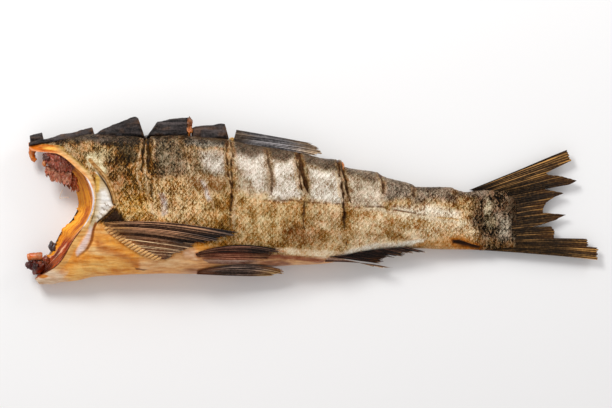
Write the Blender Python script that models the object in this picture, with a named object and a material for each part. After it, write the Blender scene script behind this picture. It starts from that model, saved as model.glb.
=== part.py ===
"""A whole smoked fish without its head, lying on its right side.

Run it with: blender --background --python part.py

The fish is one solid: the body with the open notch that the head left, the cuts that score its back,
the dark slabs of back skin that curl up between those cuts, and the dried fins grown onto it.

Frame: metres, +Z up, on a table at Z = 0. -X is the cut front, +X the tail, +Y the back and -Y the
belly, so the left side faces up. The origin is on the table under the middle of the bounding box.
The shape is worked out in millimetres, and MM turns it into metres.
"""

import bmesh
import bpy
import numpy as np

MM = 0.001

# Driving sizes, in millimetres.
NAPE_X = -226.0  # the tip of the nape, above the notch
THROAT_X = -221.0  # the tip of the throat, below the notch
SHOULDER_X = -150.0  # behind this line the notch no longer bends the body's cross sections
ROOT_X = 165.0  # the scaled skin ends here, on the tail fin
BOW = 3.2  # how far the cross sections bow towards the tail below the back
HALF_RING = 20  # faces round one side of the body
NOTCH_STEPS = 5  # faces across the wall of the notch

# The scores across the back: where they start, the share of the body's depth that they run down,
# their width and their depth.
CUTS = (
    (-132.0, 0.46, 6.0, 8.0),
    (-99.0, 0.34, 2.4, 3.0),
    (-65.5, 0.66, 4.4, 6.0),
    (-34.5, 0.40, 2.6, 3.5),
    (-7.0, 0.42, 5.0, 6.0),
    (26.0, 0.44, 5.0, 6.0),
    (55.5, 0.28, 2.4, 3.0),
    (82.5, 0.20, 2.4, 2.5),
)


def through(*points):
    """A smooth curve y(x) through the points that never swings past them (Fritsch and Carlson)."""
    x, y = np.array(points, float).T
    step = np.diff(x)
    rise = np.diff(y) / step
    slope = np.concatenate([rise[:1], np.zeros(len(x) - 2), rise[-1:]])
    turns = rise[:-1] * rise[1:] <= 0
    both = np.where(turns, 1.0, rise[:-1] + rise[1:])
    slope[1:-1] = np.where(turns, 0.0, 2 * rise[:-1] * rise[1:] / both)

    def curve(at):
        at = np.clip(at, x[0], x[-1])
        i = np.clip(np.searchsorted(x, at) - 1, 0, len(step) - 1)
        s = (at - x[i]) / step[i]
        return (
            y[i] * (1 + 2 * s) * (1 - s) ** 2
            + y[i + 1] * s * s * (3 - 2 * s)
            + step[i] * s * (1 - s) * (slope[i] * (1 - s) - slope[i + 1] * s)
        )

    return curve


# Side view: the line of the back, stepped down at the cuts behind the dorsal fin, and of the belly.
back = through(
    (NAPE_X, 46.5), (-212, 47.5), (-190, 50.5), (-174, 53.0), (-165, 52), (-137, 50.5), (-132, 48.5),
    (-125, 51.5), (-101, 52), (-97, 51), (-67, 48.9), (-63, 47.6), (-35, 42.4), (-9, 38), (8, 34),
    (24, 32), (26, 27), (54, 22), (57, 19.5), (81, 13), (84, 11), (112, 10.8), (116, 8.8), (124, 7),
    (134, 8.3), (ROOT_X, 7.5),
)  # fmt: skip
belly = through(
    (NAPE_X, -58), (THROAT_X, -62), (-217, -66), (-205, -66), (-189, -64), (-173, -60.6), (-125, -58.4),
    (-95, -58.4), (-60, -56), (-20, -52), (8, -50.6), (27, -46), (55, -40.6), (87, -38.4), (105, -39.2),
    (132, -39.4), (ROOT_X, -37),
)  # fmt: skip
# Lying on its side: the fish's height above its lowest line, and that line above the table.
thickness = through(
    (NAPE_X, 24), (-200, 36), (-170, 46), (-140, 51), (-100, 53), (-60, 51), (-20, 46), (20, 40),
    (60, 32), (100, 24), (130, 17), (150, 10), (ROOT_X, 3.6),
)  # fmt: skip
lift = through((NAPE_X, 2), (-200, 0), (100, 0), (130, 1.5), (ROOT_X, 5))
# How high the edge of the back and of the belly lie, as shares of that thickness.
back_share = through((NAPE_X, 0.46), (-100, 0.42), (60, 0.45), (ROOT_X, 0.5))
belly_share = through((NAPE_X, 0.36), (-100, 0.28), (0, 0.3), (100, 0.42), (ROOT_X, 0.5))
# The notch: x of its upper (near) and lower (far) edge against the share of the depth, and how deep
# its wall curves in between the two.
near_edge = through(
    (0, NAPE_X), (0.012, -222), (0.02, -213), (0.04, -206), (0.133, -194.5), (0.2, -185.5), (0.326, -174.8),
    (0.379, -172), (0.456, -170.8), (0.533, -172), (0.593, -175.5), (0.706, -187.4), (0.866, -201),
    (0.9, -209), (0.955, -218), (1, THROAT_X),
)  # fmt: skip
far_edge = through(
    (0, NAPE_X), (0.06, -222.4), (0.1, -216), (0.187, -201.6), (0.29, -194), (0.378, -189.6), (0.469, -186.4),
    (0.566, -190.6), (0.636, -199.6), (0.764, -208.8), (0.861, -216.8), (0.94, -219.8), (1, THROAT_X),
)  # fmt: skip
notch_depth = through((0, 0), (0.05, 1.5), (0.2, 5), (0.35, 9), (0.5, 10), (0.65, 8), (0.8, 5), (1, 0))


def ramp(value, start, end):
    """0 before start, 1 after end, and smooth between them."""
    s = np.clip((value - start) / (end - start), 0, 1)
    return s * s * (3 - 2 * s)


def share_down(angle):
    """The share of the depth, 0 at the back and 1 at the belly, for an angle of 0 to pi round one side."""
    return (1 - np.cos(angle)) / 2


def skin_height(x, angle, near):
    """The height of the skin above the table, on the near (upper) or the far side."""
    down = share_down(angle)
    full = thickness(x)
    edge = full * (back_share(x) * (1 - down) + belly_share(x) * down)
    middle = full * (0.6 * back_share(x) + 0.4 * belly_share(x))
    swell = np.abs(np.sin(angle)) ** 0.72
    if near:
        return lift(x) + edge + (full - middle) * swell * (1 - 0.16 * ramp(down, 0.55, 1))
    height = edge - 1.35 * middle * swell
    soft = 2.0  # the width over which the round side turns into the flat that rests on the table
    return lift(x) + np.where(height > soft, height, np.clip(height + soft, 0, None) ** 2 / (4 * soft))


def skin_point(x, angle, near, cut=0.0):
    """A point of the skin, pressed in by the depth of a cut."""
    down = share_down(angle)
    y = back(x) * (1 - down) + belly(x) * down
    z = skin_height(x, angle, near)
    side = 1 if near else -1
    y = y - cut * np.cos(angle)
    z = np.maximum(z - side * cut * np.sin(angle), lift(x))
    return np.stack(np.broadcast_arrays(x + BOW * bowed(x) * ramp(down, 0, 0.4), y, z), axis=-1)


def bowed(x):
    """How much of BOW the cross section at x has."""
    return ramp(x, -175, -140) * (1 - ramp(x, 40, 120))


def cut_depth(x, down):
    """How deep the scores are at x, on the line that runs down the side."""
    depth = 0
    for start, reach, width, most in CUTS:
        across = np.clip(1 - np.abs(x - start) / (width / 2), 0, 1)
        depth = depth + most * across * np.clip(1 - (down / reach) ** 2, 0, 1)
    return depth


def stations():
    """x of the body's cross sections behind the shoulder: three at each cut, and others between."""
    made = {SHOULDER_X, ROOT_X}
    for start, _, width, _ in CUTS:
        made |= {start - width / 2, start, start + width / 2}
    for x in np.arange(SHOULDER_X, ROOT_X, 9.0):
        if min(abs(x - other) for other in made) > 4.5:
            made.add(float(x))
    return sorted(made)


def ring_at(x, angles):
    """One closed cross section: the near side from back to belly, then the far side back again."""
    down = share_down(angles)
    cut = cut_depth(x, down)
    near = skin_point(x, angles, True, cut)
    far = skin_point(x, angles, False, cut * (down < 0.3))
    return [*near, *far[-2:0:-1]]


def front_rings(angles, steps=7):
    """The cross sections from the edge of the notch to the shoulder."""
    down = share_down(angles)
    rings = []
    for share in np.linspace(0, 1, steps, endpoint=False):
        near_x = near_edge(down) * (1 - share) + SHOULDER_X * share
        far_x = far_edge(down) * (1 - share) + SHOULDER_X * share
        near = skin_point(near_x, angles, True)
        far = skin_point(far_x, angles, False)
        rings.append([*near, *far[-2:0:-1]])
    return rings


def notch_rows(ring, angles):
    """Points across the wall of the notch, from its near to its far edge, for each step down the side."""
    half = len(angles) - 1
    near = np.array(ring[: half + 1])
    far = np.array([ring[0], *ring[: half - 1 : -1]])
    along = np.gradient(near[:, :2], axis=0)
    inward = np.stack([-along[:, 1], along[:, 0]], axis=1)
    inward /= np.linalg.norm(inward, axis=1, keepdims=True)
    depth = notch_depth(share_down(angles))
    rows = []
    for k in range(1, half):
        row = []
        for w in np.arange(1, NOTCH_STEPS) / NOTCH_STEPS:
            point = near[k] * (1 - w) + far[k] * w
            point[:2] += inward[k] * depth[k] * np.sin(np.pi * w)
            row.append(point)
        rows.append(row)
    return rows


def mesh_object(name, points, faces):
    """A closed mesh in metres, its faces turned outwards."""
    mesh = bpy.data.meshes.new(name)
    mesh.from_pydata([tuple(np.asarray(p) * MM) for p in points], [], faces)
    shape = bmesh.new()
    shape.from_mesh(mesh)
    bmesh.ops.triangulate(shape, faces=shape.faces)
    bmesh.ops.recalc_face_normals(shape, faces=shape.faces)
    shape.to_mesh(mesh)
    shape.free()
    made = bpy.data.objects.new(name, mesh)
    bpy.context.scene.collection.objects.link(made)
    return made


def make_body():
    """The body: a tube of cross sections, closed by the wall of the notch and by the tail's root."""
    angles = np.linspace(0, np.pi, HALF_RING + 1)
    rings = front_rings(angles) + [ring_at(x, angles) for x in stations()]
    around = 2 * HALF_RING
    points = [p for ring in rings for p in ring]
    faces = []
    for i in range(len(rings) - 1):
        for k in range(around):
            a, b = i * around + k, i * around + (k + 1) % around
            faces.append((a, b, b + around, a + around))
    last = (len(rings) - 1) * around
    for k in range(HALF_RING):  # the tail's root
        corners = [last + k, last + k + 1, last + (around - k - 1) % around, last + (around - k) % around]
        faces.append(tuple(dict.fromkeys(corners)))
    rows = []
    for k, row in enumerate(notch_rows(rings[0], angles), start=1):
        first = len(points)
        points += row
        rows.append([k, *range(first, first + len(row)), around - k])
    for upper, lower in zip(rows[:-1], rows[1:]):
        for w in range(NOTCH_STEPS):
            faces.append((upper[w], upper[w + 1], lower[w + 1], lower[w]))
    for w in range(NOTCH_STEPS):
        faces.append((0, rows[0][w + 1], rows[0][w]))
        faces.append((HALF_RING, rows[-1][w], rows[-1][w + 1]))
    return mesh_object("smoked_fish", points, faces)


def slab_faces(rows, wide):
    """The faces of a closed slab whose points are an upper grid of rows by wide, then a lower one."""
    under = rows * wide
    faces = []
    for i in range(rows - 1):
        for j in range(wide - 1):
            a = i * wide + j
            faces.append((a, a + 1, a + wide + 1, a + wide))
            faces.append((under + a, under + a + wide, under + a + wide + 1, under + a + 1))
    root = list(range(wide))
    far_side = [i * wide + wide - 1 for i in range(1, rows)]
    tip = [(rows - 1) * wide + j for j in range(wide - 2, -1, -1)]
    rim = root + far_side + tip + [i * wide for i in range(rows - 2, 0, -1)]
    for a, b in zip(rim, rim[1:] + rim[:1]):
        faces.append((a, under + a, under + b, b))
    return faces


def plate(name, height, thick, *outline):
    """A flat closed piece with that outline, its middle at that height above the table."""
    count = len(outline)
    points = [(x, y, height + side * thick / 2) for side in (1, -1) for x, y in outline]
    faces = [tuple(range(count)), tuple(range(2 * count - 1, count - 1, -1))]
    for a in range(count):
        b = (a + 1) % count
        faces.append((a, a + count, b + count, b))
    return mesh_object(name, points, faces)


def relief(name, side_a, side_b, rise, across=4):
    """A closed piece that lies along the near side's skin and stands out from it by rise."""
    grid = []
    for a, b in zip(np.array(side_a, float), np.array(side_b, float)):
        for w in np.linspace(0, 1, across + 1):
            x, y = a * (1 - w) + b * w
            grid.append((x, np.arccos(1 - 2 * (back(x) - y) / (back(x) - belly(x)))))
    points = [skin_point(x - BOW * bowed(x), angle, True, -rise) for x, angle in grid]
    points += [skin_point(x - BOW * bowed(x), angle, True, 3.0) for x, angle in grid]
    return mesh_object(name, points, slab_faces(len(side_a), across + 1))


def make_side_fins():
    """The pectoral fin, flat on the near side, and the two pelvic fins along the belly's edge."""
    pectoral = relief(
        "pectoral_fin",
        [
            (-164, -19), (-154, -15.8), (-137, -14.8), (-120, -14.8), (-104, -15.6), (-89, -17.2),
            (-68, -20.4), (-61, -24),
        ],
        [
            (-157, -31), (-150, -38), (-138, -44), (-120, -43.6), (-106, -40), (-92, -36), (-76, -31),
            (-61, -25),
        ],
        1.8,
    )  # fmt: skip
    upper_pelvic = relief(
        "pelvic_fin_upper",
        [(-91, -40.4), (-75, -37), (-56, -36.2), (-43, -40), (-22, -41)],
        [(-89, -44), (-77, -47.2), (-56, -46.4), (-36, -46), (-22, -42)],
        1.8,
        across=3,
    )
    lower_pelvic = plate(
        "pelvic_fin_lower", 12.2, 3.2,
        (-92, -50), (-30, -48), (-24, -54.6), (-20, -57.4), (-30, -58.8), (-43, -59.4), (-53, -60.4),
        (-80, -60.2), (-92, -58.8),
    )  # fmt: skip
    return [pectoral, upper_pelvic, lower_pelvic]


def make_back_pieces():
    """The slabs of dark back skin that stand up from the ridge between the cuts, and the folded
    dorsal fin behind them, its rear end free."""
    return [
        plate("slab_nape", 13.1, 9, (-222.8, 44.6), (-224.4, 51.4), (-216.4, 54.4), (-214.6, 44.6)),
        plate(
            "slab_1", 18.7, 10, (-221, 44), (-213.8, 48.6), (-206.6, 49.8), (-200.2, 52.2), (-190.6, 53.8),
            (-180.2, 56.6), (-175.4, 57.8), (-173.8, 47),
        ),
        plate(
            "slab_2", 22.3, 11, (-168, 46), (-169.6, 53.6), (-164.9, 57), (-157.4, 60.2), (-140.2, 66.6),
            (-137.6, 65.3), (-137.2, 61.4), (-133.2, 54.6), (-135.4, 46),
        ),
        plate(
            "slab_3", 23.9, 12, (-127.4, 46), (-130.2, 51.8), (-125.4, 54.8), (-122.6, 60.9), (-120.4, 63),
            (-101.1, 65.8), (-96.2, 66.1), (-94.7, 65.3), (-94.7, 46),
        ),
        plate(
            "slab_4", 21.7, 11, (-94.2, 45), (-95, 57.3), (-91.6, 58.9), (-70.8, 61), (-68.4, 60.6),
            (-67.6, 58.5), (-65.4, 54.6), (-67.6, 44),
        ),
        plate(
            "dorsal_fin", 21.3, 5, (-61, 42), (-62, 47.6), (-59.2, 56), (-6.4, 46.6), (0.8, 46), (7.6, 42.2),
            (8.8, 38.8), (7.2, 35.4), (-7, 36.2), (-9, 33),
        ),
    ]  # fmt: skip


def make_rear_fins():
    """The torn anal fin, with a swept front lobe and short spikes behind it, and the torn tail fin,
    its rays in seven tapering blades that fan from the tail's root."""
    anal = plate(
        "anal_fin", 12.4, 3,
        (8, -42), (13.6, -47.2), (28, -50.6), (45.6, -54.2), (70, -54.8), (55.4, -51.2), (52.6, -46.4),
        (60, -45.4), (76.8, -44.4), (69, -42), (79.2, -40.6), (77, -38.9), (91.2, -40.2), (86, -34),
    )  # fmt: skip
    tail = plate(
        "tail_fin", 6.6, 2.6,
        (128, 4), (131, 8.6), (152, 17), (204.8, 40.2), (205.6, 36.9), (208, 31.8), (190, 22), (175.2, 14),
        (197, 17.6), (212, 16.4), (206.4, 12.7), (188, 11.8), (176.8, 9.2), (192.8, 8.6), (201.6, 5.8),
        (195.2, 1.6), (188, -2), (173, -5.6), (188, -7.4), (202.9, -11.8), (192.8, -16), (184, -20.4),
        (174.4, -20.8), (193.2, -21.6), (194, -25.2), (193.2, -30.2), (180, -29.4), (205, -29.6),
        (223.8, -30.2), (221.4, -36.6), (229, -37.4), (228.5, -46.2), (214, -46.4), (181.6, -43.9),
        (141.6, -38.9), (128, -33),
    )  # fmt: skip
    return [anal, tail]


def make_scraps():
    """What the knife left on the notch: the hooked nape, torn flesh round the spine, the throat's rag."""
    return [
        plate(
            "nape_hook", 12.3, 8.6, (-213, 45), (-221, 46.8), (-226, 43.8), (-226.8, 38.4), (-225, 33),
            (-221.8, 30.6), (-219.4, 32), (-220.2, 36), (-218.6, 38.8), (-212, 40.4),
        ),
        plate(
            "spine_flesh", 22.6, 12.6, (-211.2, 38), (-213, 32.4), (-212, 24.4), (-208, 16.4), (-199.2, 13.2),
            (-189, 8.4), (-178, 8), (-176, 30), (-186, 42), (-200, 44),
        ),
        plate(
            "throat_rag", 12.8, 8.6, (-212, -43.4), (-225.4, -42.4), (-226.2, -46.8), (-228.6, -50),
            (-229, -54), (-225, -57.6), (-217, -62), (-208, -58),
        ),
    ]  # fmt: skip


def unite(body, pieces):
    """Joins the pieces to the body, one Boolean union after another."""
    bpy.context.view_layer.objects.active = body
    for piece in pieces:
        join = body.modifiers.new(piece.name, "BOOLEAN")
        join.operation = "UNION"
        join.solver = "EXACT"
        join.object = piece
        bpy.ops.object.modifier_apply(modifier=join.name)
        bpy.data.objects.remove(piece)


def dressed(body):
    """Gives the solid its plain smoked-skin material."""
    skin = bpy.data.materials.new("smoked_skin")
    skin.use_nodes = True
    shader = skin.node_tree.nodes["Principled BSDF"]
    shader.inputs["Base Color"].default_value = (0.33, 0.20, 0.09, 1)
    shader.inputs["Roughness"].default_value = 0.4
    shader.inputs["Metallic"].default_value = 0.0
    body.data.materials.clear()
    body.data.materials.append(skin)


def main():
    for old in list(bpy.data.objects):
        bpy.data.objects.remove(old)
    body = make_body()
    unite(body, make_back_pieces() + make_side_fins() + make_rear_fins() + make_scraps())
    dressed(body)


main()
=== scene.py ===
"""Looks of the smoked fish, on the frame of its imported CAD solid.

The skin, the wall of the notch, the dark slabs of the back, the fins and the torn flesh are each
modelled here, in millimetres of the real fish, and MM and ORIGIN carry them to the CAD solid's place.
Every surface has two tones for each point, "deep" and "bright". Its material works out a pattern of
scales, streaks and grain between the two.
"""

import bmesh
import bpy
import numpy as np
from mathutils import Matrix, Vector


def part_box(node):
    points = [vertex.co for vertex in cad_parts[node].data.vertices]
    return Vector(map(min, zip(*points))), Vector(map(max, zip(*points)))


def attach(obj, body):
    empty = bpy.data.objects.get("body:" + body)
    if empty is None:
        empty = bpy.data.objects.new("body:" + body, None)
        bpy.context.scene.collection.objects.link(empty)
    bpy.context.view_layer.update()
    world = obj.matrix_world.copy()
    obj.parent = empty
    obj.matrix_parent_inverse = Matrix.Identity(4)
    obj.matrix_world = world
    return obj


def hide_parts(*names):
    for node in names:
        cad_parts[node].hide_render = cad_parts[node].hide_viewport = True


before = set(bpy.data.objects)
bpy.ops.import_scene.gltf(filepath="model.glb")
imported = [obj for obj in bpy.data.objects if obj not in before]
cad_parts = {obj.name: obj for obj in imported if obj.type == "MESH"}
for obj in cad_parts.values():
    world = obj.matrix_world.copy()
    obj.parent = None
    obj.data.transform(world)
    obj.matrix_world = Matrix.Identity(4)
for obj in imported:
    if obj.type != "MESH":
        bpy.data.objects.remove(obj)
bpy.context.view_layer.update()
NODE = "smoked_fish"
LOW, HIGH = (np.array(corner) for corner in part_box(NODE))

# Driving sizes, in millimetres of the fish.
LENGTH = 458.0
MIDDLE_Y = 0.3  # where the middle of the CAD solid lies between the back and the belly
MM = (HIGH[0] - LOW[0]) / LENGTH
ORIGIN = np.array([(LOW[0] + HIGH[0]) / 2, (LOW[1] + HIGH[1]) / 2 - MIDDLE_Y * MM, LOW[2]])
NAPE_X = -226.0
THROAT_X = -221.0
SHOULDER_X = -150.0
SPLIT_X = -22.0  # the skin is two pieces, which meet here
ROOT_X = 165.0
BOW = 3.2  # how far the flank is pushed towards the tail
STEP = 0.75  # the skin's mesh size along the body
NEAR_FACES = 190  # how many faces run round the near side
FAR_FACES = 84
SCALE_LONG = 3.2  # the pitch of the scales along the body, and of their rows round it
SCALE_ROW = 2.0
SCALE_BEND = 0.42  # how round the free edge of a scale is
RAY_POINTS = 7  # how many points a fin has from one ray to the next


# ---------------------------------------------------------------- curves and noise


def through(*points):
    """A smooth curve y(x) through the points that never swings past them (Fritsch and Carlson)."""
    x, y = np.array(points, float).T
    step = np.diff(x)
    rise = np.diff(y) / step
    slope = np.concatenate([rise[:1], np.zeros(len(x) - 2), rise[-1:]])
    turns = rise[:-1] * rise[1:] <= 0
    both = np.where(turns, 1.0, rise[:-1] + rise[1:])
    slope[1:-1] = np.where(turns, 0.0, 2 * rise[:-1] * rise[1:] / both)

    def curve(at):
        at = np.clip(at, x[0], x[-1])
        i = np.clip(np.searchsorted(x, at) - 1, 0, len(step) - 1)
        s = (at - x[i]) / step[i]
        return (
            y[i] * (1 + 2 * s) * (1 - s) ** 2
            + y[i + 1] * s * s * (3 - 2 * s)
            + step[i] * s * (1 - s) * (slope[i] * (1 - s) - slope[i + 1] * s)
        )

    return curve


def line(points, count):
    """A smooth line through points of any dimension, resampled to count points."""
    points = np.array(points, float)
    along = np.concatenate([[0], np.cumsum(np.linalg.norm(np.diff(points, axis=0), axis=1))])
    at = np.linspace(0, along[-1], count)
    return np.stack([through(*zip(along, column))(at) for column in points.T], axis=-1)


def ramp(value, start, end):
    """0 before start, 1 after end, and smooth between them."""
    s = np.clip((value - start) / (end - start), 0, 1)
    return s * s * (3 - 2 * s)


def span(value, start, full, ebb, end):
    """0 outside start to end, 1 from full to ebb, and smooth between them."""
    return ramp(value, start, full) * (1 - ramp(value, ebb, end))


def noise(x, y, seed):
    """Smooth random swells between -1 and 1, about one to a unit."""
    x, y = np.broadcast_arrays(np.asarray(x, float), np.asarray(y, float))
    ix, iy = np.floor(x), np.floor(y)
    fx, fy = x - ix, y - iy
    fx, fy = fx * fx * (3 - 2 * fx), fy * fy * (3 - 2 * fy)

    def corner(i, j):
        mixed = np.sin(i * 127.1 + j * 311.7 + seed * 74.7) * 43758.5453
        return mixed - np.floor(mixed)

    near = corner(ix, iy) * (1 - fx) + corner(ix + 1, iy) * fx
    far = corner(ix, iy + 1) * (1 - fx) + corner(ix + 1, iy + 1) * fx
    return 2 * (near * (1 - fy) + far * fy) - 1


def rgb(red, green, blue):
    """A colour given as screen values, 0 to 255, in the shader's linear light."""
    value = np.array([red, green, blue], float) / 255
    return np.where(value <= 0.04045, value / 12.92, ((value + 0.055) / 1.055) ** 2.4)


# ---------------------------------------------------------------- the fish's form, as in the CAD solid


# Curves along x: y of the back's and the belly's edge, the thickness, how high the fish is lifted off
# the table, the shares of the thickness at which the two edges lie, and the share of the depth at
# which the lateral line runs. The edges of the notch and its depth are curves along the share of the depth.
back = through(
    (NAPE_X, 46.5), (-212, 47.5), (-190, 50.5), (-174, 53.0), (-165, 52), (-137, 50.5), (-132, 48.5),
    (-125, 51.5), (-101, 52), (-97, 51), (-67, 48.9), (-63, 47.6), (-35, 42.4), (-9, 38.0), (8, 34),
    (24, 32), (26, 27), (54, 22), (57, 19.5), (81, 13), (84, 11), (112, 10.8), (116, 8.8), (124, 7),
    (134, 8.3), (ROOT_X, 7.5),
)  # fmt: skip
belly = through(
    (NAPE_X, -58), (THROAT_X, -63), (-217, -67.2), (-208, -67.2), (-200, -65.4), (-186, -63.8), (-173, -60.8),
    (-125, -58.4), (-95, -58.4), (-60, -56), (-20, -52), (8, -50.6), (27, -46), (55, -40.6), (87, -38.4),
    (105, -39.2), (132, -39.4), (ROOT_X, -37),
)  # fmt: skip
thickness = through(
    (NAPE_X, 24), (-200, 36), (-170, 46), (-140, 51), (-100, 53), (-60, 51), (-20, 46), (20, 40),
    (60, 32), (100, 24), (130, 17), (150, 10), (ROOT_X, 3.6),
)  # fmt: skip
lift = through((NAPE_X, 2), (-200, 0), (100, 0), (130, 1.5), (ROOT_X, 5))
back_share = through((NAPE_X, 0.46), (-100, 0.42), (60, 0.45), (ROOT_X, 0.5))
belly_share = through((NAPE_X, 0.36), (-100, 0.28), (0, 0.3), (100, 0.42), (ROOT_X, 0.5))
lateral_line = through((-80, 0.42), (-45, 0.44), (24, 0.43), (56, 0.44), (83, 0.45), (115, 0.505), (150, 0.5))
near_edge = through(
    (0, NAPE_X), (0.03, -225.2), (0.062, -223), (0.076, -215), (0.086, -208), (0.1, -202), (0.13, -196.4),
    (0.177, -190.4), (0.245, -183), (0.306, -177), (0.35, -174), (0.4, -171.8), (0.456, -170.8),
    (0.533, -172), (0.593, -175.5), (0.706, -187.4), (0.866, -201), (0.9, -209), (0.955, -218), (1, THROAT_X),
)  # fmt: skip
far_edge = through(
    (0, NAPE_X), (0.04, -223), (0.07, -213), (0.09, -206), (0.187, -198.6), (0.29, -193), (0.378, -189.4),
    (0.469, -187.6), (0.566, -192.4), (0.636, -200.8), (0.764, -209.4), (0.861, -216.8), (0.94, -219.8),
    (1, THROAT_X),
)  # fmt: skip
notch_depth = through((0, 0), (0.05, 1.5), (0.2, 5), (0.35, 9), (0.5, 10), (0.65, 8), (0.8, 5), (1, 0))


def share_down(angle):
    """The share of the depth, 0 at the back and 1 at the belly, for an angle of 0 to pi round one side."""
    return (1 - np.cos(angle)) / 2


def skin_height(x, angle, near):
    """The height of the skin above the table, on the near (upper) or the far side."""
    down = share_down(angle)
    full = thickness(x)
    edge = full * (back_share(x) * (1 - down) + belly_share(x) * down)
    middle = full * (0.6 * back_share(x) + 0.4 * belly_share(x))
    swell = np.abs(np.sin(angle)) ** 0.72
    if near:
        return lift(x) + edge + (full - middle) * swell * (1 - 0.16 * ramp(down, 0.55, 1))
    height = edge - 1.35 * middle * swell
    soft = 2.0
    return lift(x) + np.where(height > soft, height, np.clip(height + soft, 0, None) ** 2 / (4 * soft))


def bowed(x):
    """How much of BOW the cross section at x has."""
    return ramp(x, -175, -140) * (1 - ramp(x, 40, 120))


def skin_point(x, angle, near, rise=0.0):
    """A point of the skin, raised outwards."""
    down = share_down(angle)
    y = back(x) * (1 - down) + belly(x) * down + rise * np.cos(angle)
    z = skin_height(x, angle, near) + (1 if near else -1) * rise * np.sin(angle)
    return np.stack(np.broadcast_arrays(x + BOW * bowed(x) * ramp(down, 0, 0.4), y, z), axis=-1)


def share_at(x, y):
    """The share of the depth at which the point x, y lies, seen from above."""
    return np.clip((back(x) - y) / (back(x) - belly(x)), 0, 1)


def near_height(x, y):
    """The height of the near side's skin over x, y."""
    return skin_height(x, np.arccos(1 - 2 * share_at(x, y)), True)


# ---------------------------------------------------------------- meshes


def quads(rows, columns, wrap=False, first=0):
    """The faces of a grid of points, and with wrap those from its last column to its first."""
    index = np.arange(rows * columns).reshape(rows, columns) + first
    side = np.roll(index, -1, axis=1) if wrap else index[:, 1:]
    here = index if wrap else index[:, :-1]
    return np.stack([here[:-1], side[:-1], side[1:], here[1:]], axis=-1).reshape(-1, 4).tolist()


def piece(name, points, faces, material, deep, bright, lattice=None):
    """A mesh piece on the fish's body. deep and bright are colours for each point with a fourth number:
    how strongly the scales show, and how much of the bright tone there is."""
    points = np.asarray(points, float).reshape(-1, 3)
    mesh = bpy.data.meshes.new(name)
    mesh.from_pydata((points * MM + ORIGIN).tolist(), [], faces)
    shape = bmesh.new()
    shape.from_mesh(mesh)
    bmesh.ops.recalc_face_normals(shape, faces=shape.faces)
    shape.to_mesh(mesh)
    shape.free()
    mesh.polygons.foreach_set("use_smooth", np.ones(len(mesh.polygons), bool))
    for label, tone in (("deep", deep), ("bright", bright)):
        layer = mesh.color_attributes.new(label, "FLOAT_COLOR", "POINT")
        tone = np.broadcast_to(np.asarray(tone, float).reshape(-1, 4), (len(points), 4))
        layer.data.foreach_set("color", np.ascontiguousarray(tone, np.float32).ravel())
    layer = mesh.attributes.new("lattice", "FLOAT_VECTOR", "POINT")
    lattice = points / 3 if lattice is None else np.asarray(lattice, float).reshape(-1, 3)
    layer.data.foreach_set("vector", np.ascontiguousarray(lattice, np.float32).ravel())
    mesh.materials.append(material)
    made = bpy.data.objects.new(name, mesh)
    bpy.context.scene.collection.objects.link(made)
    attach(made, "root")
    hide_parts(NODE)


def tones(deep, bright, share=0.5):
    """The two tones of a smooth surface, given as screen values, with the share of the bright one."""
    return np.append(rgb(*deep), 0.0), np.append(rgb(*bright), share)


class Coat:
    """The deep and the bright tone at each point of a surface, how strongly its scales show there, and
    the share of the bright tone. Tones are given as screen values."""

    def __init__(self, shape, deep, bright, share, scaly=0.0):
        self.deep = np.broadcast_to(rgb(*deep), (*shape, 3)).copy()
        self.bright = np.broadcast_to(rgb(*bright), (*shape, 3)).copy()
        self.share = np.full(shape, share)
        self.scaly = np.full(shape, scaly)

    def lay(self, mask, deep, bright, share=None, scaly=None):
        """Lays two tones over the ones that are there, as far as the mask goes from 0 to 1."""
        mask = np.clip(mask, 0, 1)
        self.deep += mask[..., None] * (rgb(*deep) - self.deep)
        self.bright += mask[..., None] * (rgb(*bright) - self.bright)
        if share is not None:
            self.share += mask * (share - self.share)
        if scaly is not None:
            self.scaly += mask * (scaly - self.scaly)

    def bare(self, mask, deep, bright, share=None):
        """Lays two tones without scales."""
        self.lay(mask, deep, bright, share, 0.0)

    def grids(self):
        """The colours of each point, as piece() takes them."""
        return (np.concatenate([self.deep, self.scaly[..., None]], -1),
                np.concatenate([self.bright, self.share[..., None]], -1))  # fmt: skip


def slab(top, thick):
    """Points and faces of a closed slab under a grid of points, which is thick deep."""
    rows, columns = top.shape[:2]
    under = top.copy()
    under[..., 2] -= thick
    faces = quads(rows, columns) + [face[::-1] for face in quads(rows, columns, first=rows * columns)]
    index = np.arange(rows * columns).reshape(rows, columns)
    rim = [*index[0], *index[1:, -1], *index[-1, -2::-1], *index[-2:0:-1, 0]]
    below = rows * columns
    faces += [(int(a), int(a) + below, int(b) + below, int(b)) for a, b in zip(rim, rim[1:] + rim[:1])]
    return np.concatenate([top.reshape(-1, 3), under.reshape(-1, 3)]), faces


def tube(rings):
    """Points and faces of a closed tube through the rings, each end drawn together in its middle."""
    rows, around = rings.shape[:2]
    points = np.concatenate([rings.reshape(-1, 3), [rings[0].mean(axis=0), rings[-1].mean(axis=0)]])
    faces = quads(rows, around, wrap=True)
    start, end = rows * around, rows * around + 1
    last = (rows - 1) * around
    for k in range(around):
        following = (k + 1) % around
        faces.append((start, following, k))
        faces.append((end, last + k, last + following))
    return points, faces


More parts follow.
